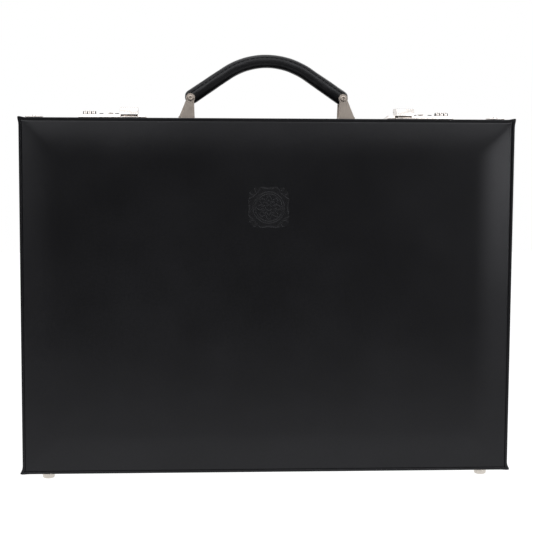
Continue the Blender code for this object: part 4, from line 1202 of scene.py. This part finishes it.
bevel_edges(housing, lambda edge: runs(edge, 0) and middle_of(edge).z > near_top, PLATE_CHAMFER, 1)
round_edges(housing, 0.3 * MM, 3, 20)
dial_case = block("dial_case", (case_low_x, dial_centre.y - case_half_depth, LOCK_LOW.z),
                  (case_high_x, dial_centre.y + case_half_depth, low.z + 1.5 * MM))
carve(housing, dial_case, "UNION")
hasp_low, hasp_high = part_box("hasp_right")
hasp_pin_low, hasp_pin_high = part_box("hasp_pin_right")
hasp_pin = (hasp_pin_low + hasp_pin_high) / 2
lug = rod("lug", LUG_RADIUS, 0, hasp_low.x + LUG_FROM_END, hasp_high.x - LUG_FROM_END, hasp_pin, 32)
carve(housing, lug, "UNION")
slot_room = Vector((DIAL_SIDE_CLEARANCE, DIAL_SLOT_CLEARANCE, DIAL_SLOT_CLEARANCE))
for low_box, high_box in DIAL_BOXES:
    slot_high = high_box + slot_room
    carve(housing, block("dial_slot", low_box - slot_room, (slot_high.x, slot_high.y, high_box.z)))
button_low, button_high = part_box("slide_button_right")
button_y = (button_low.y + button_high.y) / 2
run = block("button_run", (button_low.x, button_y - BUTTON_RUN_HALF, plate_top - BUTTON_RUN_DEPTH),
            (button_high.x + BUTTON_TRAVEL, button_y + BUTTON_RUN_HALF, plate_top + 1 * MM))
carve(housing, run)
smooth(housing, 30)
both_sides("lock_plate", housing, nickel_material, "body", "bright_nickel", "lock_housing_{side}")

screws = []
for screw_x in (button_low.x - SCREW_BEFORE_BUTTON, button_high.x + SCREW_AFTER_BUTTON):
    screw = rod("screw", SCREW_RADIUS, 2, plate_top - 0.3 * MM, plate_top + SCREW_HEAD,
                (screw_x, button_y, 0), 36)
    round_edges(screw, 0.15 * MM, 2, 50)
    drive = block("drive", (screw_x - 2 * MM, button_y - DRIVE_HALF, plate_top + 0.35 * MM),
                  (screw_x + 2 * MM, button_y + DRIVE_HALF, plate_top + 2 * MM))
    carve(screw, drive)
    screws.append(screw)
join_parts(screws[0], screws[1:])
smooth(screws[0], 35)
screw_material = brushed_metal("blued_steel", (0.16, 0.16, 0.17), 0.30, (1, 0.1, 1))
both_sides("lock_screws", screws[0], screw_material, "body", "bright_nickel")


# ================================================================ combination dials
# Three number wheels stand side by side in each lock: turned brass rings, nickel plated, with ten notches
# to turn them by and black filled figures between the notches. Four thin black discs, between the wheels
# and at both ends, are painted shade: they stand for the dark gaps beside the wheels.
NOTCHES = 10
NOTCH_DEPTH = 0.5 * MM
NOTCH_HALF_ANGLE = 0.13
FIGURE_HEIGHT = 2.1 * MM
FIGURE_SINK = 0.03 * MM
DISC_HALF = 0.3 * MM
DISC_DROP = 0.35 * MM


# Black for the filled figures on the wheels, and also painted shade on the discs between and beside them.
def enamel_finish():
    figure_fill_and_shade = Finish("black_figure_fill_and_painted_shade", {"Roughness": 0.3, "Specular IOR Level": 0.5})
    tone = figure_fill_and_shade.mix((0.006, 0.006, 0.006), (0.02, 0.02, 0.02), figure_fill_and_shade.speckle(0.4 * MM))
    return figure_fill_and_shade.paint(base_color=tone)


def make_figure(number, radius):
    """A figure on the wheel's rim, standing for its place at the top."""
    bpy.ops.object.select_all(action="DESELECT")
    bpy.ops.object.text_add()
    figure = bpy.context.object
    figure.data.body = str(number)
    figure.data.size = FIGURE_HEIGHT * 1.35
    figure.data.align_x = "CENTER"
    figure.data.align_y = "CENTER"
    figure.data.extrude = 0.06 * MM
    figure.data.resolution_u = 3
    bpy.ops.object.convert(target="MESH")
    figure.data.transform(Matrix.Translation((0, 0, radius - FIGURE_SINK)))
    figure.data.transform(Matrix.Rotation(-2 * math.pi * number / NOTCHES, 4, "X"))
    return figure


def dial_model(radius, width):
    wheel = rod("wheel", radius, 0, -width / 2, width / 2, (0, 0, 0), 160)

    def notch(corner):
        reach = math.hypot(corner.y, corner.z)
        if reach < radius * 0.9:
            return corner
        tenth = 2 * math.pi / NOTCHES
        angle = math.atan2(corner.y, corner.z) + tenth / 2
        off = (angle + tenth / 2) % tenth - tenth / 2
        sunk = NOTCH_DEPTH * groove(off, NOTCH_HALF_ANGLE)
        scale = (reach - sunk) / reach
        return Vector((corner.x, corner.y * scale, corner.z * scale))

    reshape(wheel, notch)
    round_edges(wheel, 0.2 * MM, 2, 50)
    wheel.data.materials.append(nickel_material)
    figures = [make_figure(number, radius) for number in range(NOTCHES)]
    join_parts(figures[0], figures[1:])
    figures[0].data.materials.clear()
    figures[0].data.materials.append(figure_fill_and_shade_material)
    join_parts(wheel, [figures[0]])
    smooth(wheel, 35)
    return wheel


figure_fill_and_shade_material = enamel_finish()
wheel_pitch = abs(DIAL_BOXES[1][0].x - DIAL_BOXES[0][0].x)
# Thin black discs between and beside the wheels: painted shade for the dark gaps there, not parts of the
# lock.
shade_discs = []
for index in range(4):
    x = dial_centre.x + (index - 1.5) * wheel_pitch
    shade_disc = rod(f"disc_{index}", dial_radius - DISC_DROP, 0, x - DISC_HALF, x + DISC_HALF, dial_centre, 64)
    round_edges(shade_disc, 0.1 * MM, 1, 50)
    shade_discs.append(shade_disc)
join_parts(shade_discs[0], shade_discs[1:])
smooth(shade_discs[0], 35)
both_sides("dial_shade_discs", shade_discs[0], figure_fill_and_shade_material, "body", "bright_nickel")
wheel_model = dial_model(dial_radius, DIAL_BOXES[0][1].x - DIAL_BOXES[0][0].x)
for side in SIDES:
    for number in (1, 2, 3):
        low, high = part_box(f"dial_{side}_{number}")
        place = Matrix.Translation((low + high) / 2)
        wheel = copy_at(wheel_model, f"number_wheel_{side}_{number}", place)
        hand_over(wheel, None, f"dial_{side}_{number}", "bright_nickel", f"dial_{side}_{number}")
bpy.data.objects.remove(wheel_model, do_unlink=True)


# ================================================================ slide buttons
# The button that frees the hasp slides outwards in its slot against a spring. Its top is ribbed for the
# thumb.
KNOB_RIBS = 4
RIB_HALF = 0.18 * MM
STEM_HALF = 1.6 * MM
STEM_END = 0.3 * MM
knob = block("knob", (button_low.x, button_low.y, plate_top + 0.3 * MM), button_high)
round_edges(knob, 0.15 * MM, 2, 50)
for index in range(KNOB_RIBS):
    rib_x = button_low.x + (button_high.x - button_low.x) * (index + 1) / (KNOB_RIBS + 1)
    rib = block("rib", (rib_x - RIB_HALF, button_low.y - 1 * MM, button_high.z - 0.3 * MM),
                (rib_x + RIB_HALF, button_high.y + 1 * MM, button_high.z + 1 * MM))
    carve(knob, rib)
stem = block("stem", (button_low.x + STEM_END, button_y - STEM_HALF, button_low.z),
             (button_high.x - STEM_END, button_y + STEM_HALF, plate_top + 0.6 * MM))
carve(knob, stem, "UNION")
smooth(knob, 35)
both_sides("thumb_slide", knob, nickel_material, "slide_button_{side}", "bright_nickel",
           "slide_button_{side}")


# ================================================================ hasps
# Each hasp is pressed from sheet and nickel plated: a flap with a rounded nose and heel that turns on a pin
# in the lock's lug, hollow underneath, with short ribs across its nose for the thumb.
HASP_SHEET = 1.3 * MM
NOSE_RADIUS = 0.8 * MM
NOSE_SLOPE = 2.9 * MM
HEEL_RADIUS = 2.6 * MM
THUMB_RIBS = 8
THUMB_RIB_HALF = 0.36 * MM
THUMB_RIB_DEPTH = 0.55 * MM
THUMB_RIB_LENGTH = 3.5 * MM
flap = block("flap", hasp_low, hasp_high)
near_top = hasp_high.z - 0.1 * MM
bevel_edges(flap, lambda edge: runs(edge, 0) and middle_of(edge).y > hasp_high.y - 0.1 * MM, HEEL_RADIUS, 8)
shift_corners(flap, lambda corner: corner.co.y < hasp_low.y + 0.1 * MM and corner.co.z > near_top,
              (0, NOSE_SLOPE, 0))
bevel_edges(flap, lambda edge: runs(edge, 0) and middle_of(edge).z > near_top
            and middle_of(edge).y < hasp_low.y + NOSE_SLOPE + 0.1 * MM, NOSE_RADIUS, 4)
room = block("room", (hasp_low.x + HASP_SHEET, hasp_low.y + HASP_SHEET, hasp_low.z - 5 * MM),
             (hasp_high.x - HASP_SHEET, hasp_high.y + 5 * MM, hasp_high.z - HASP_SHEET))
shift_corners(room, lambda corner: corner.co.y < hasp_low.y + 2 * HASP_SHEET
              and corner.co.z > hasp_high.z - 2 * MM, (0, NOSE_SLOPE, 0))
carve(flap, room)
round_edges(flap, 0.3 * MM, 3, 40)
for index in range(THUMB_RIBS):
    rib_x = hasp_low.x + (hasp_high.x - hasp_low.x) * (index + 0.5) / THUMB_RIBS
    rib_back = hasp_low.y + NOSE_SLOPE + THUMB_RIB_LENGTH
    rib = block("rib", (rib_x - THUMB_RIB_HALF, hasp_low.y - 1 * MM, hasp_high.z - THUMB_RIB_DEPTH),
                (rib_x + THUMB_RIB_HALF, rib_back, hasp_high.z + 1 * MM))
    carve(flap, rib)
pin_hole = rod("pin_hole", 1.1 * MM, 0, hasp_low.x - 1 * MM, hasp_high.x + 1 * MM, hasp_pin, 24)
carve(flap, pin_hole)
smooth(flap, 32)
both_sides("hasp_flap", flap, nickel_material, "hasp_{side}", "bright_nickel", "hasp_{side}")


# ================================================================ catch plates
# The lid's half of each lock is a small plate with an upstanding rib that the hasp closes
# over.
low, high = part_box("catch_plate_right")
low.z = rim_high.z - 0.1 * MM
CATCH_THICKNESS = 1.2 * MM
CATCH_CORNER = 1.5 * MM
RIB_END = 2.3 * MM
RIB_FRONT = 4.65 * MM
RIB_BACK = 8.95 * MM
RIB_SLOPE = 1.9 * MM
catch = block("catch", low, (high.x, high.y, low.z + CATCH_THICKNESS))
bevel_edges(catch, lambda edge: runs(edge, 2) and middle_of(edge).y < low.y + 0.1 * MM, CATCH_CORNER, 5)
round_edges(catch, 0.3 * MM, 3, 50)
rib = block("catch_rib", (low.x + RIB_END, low.y + RIB_FRONT, low.z + CATCH_THICKNESS / 2),
            (high.x - RIB_END, low.y + RIB_BACK, high.z))
bevel_edges(rib, lambda edge: runs(edge, 0) and middle_of(edge).z > high.z - 0.1 * MM
            and middle_of(edge).y < low.y + 5 * MM, RIB_SLOPE, 1)
round_edges(rib, 0.25 * MM, 3, 30)
carve(catch, rib, "UNION")
smooth(catch, 35)
both_sides("catch_nickel", catch, nickel_material, "lid", "bright_nickel", "catch_plate_{side}")


# ================================================================ folding stays
# A two-link stay at each end holds the lid open: flat steel bars with round ends, zinc plated, turning on
# headed pins that stand on small plates on the lining.
for side in SIDES:
    refinish(steel_material, f"stay_lower_{side}", f"stay_upper_{side}", f"stay_rivet_{side}",
             f"body_stay_pivot_{side}", f"lid_stay_pivot_{side}")
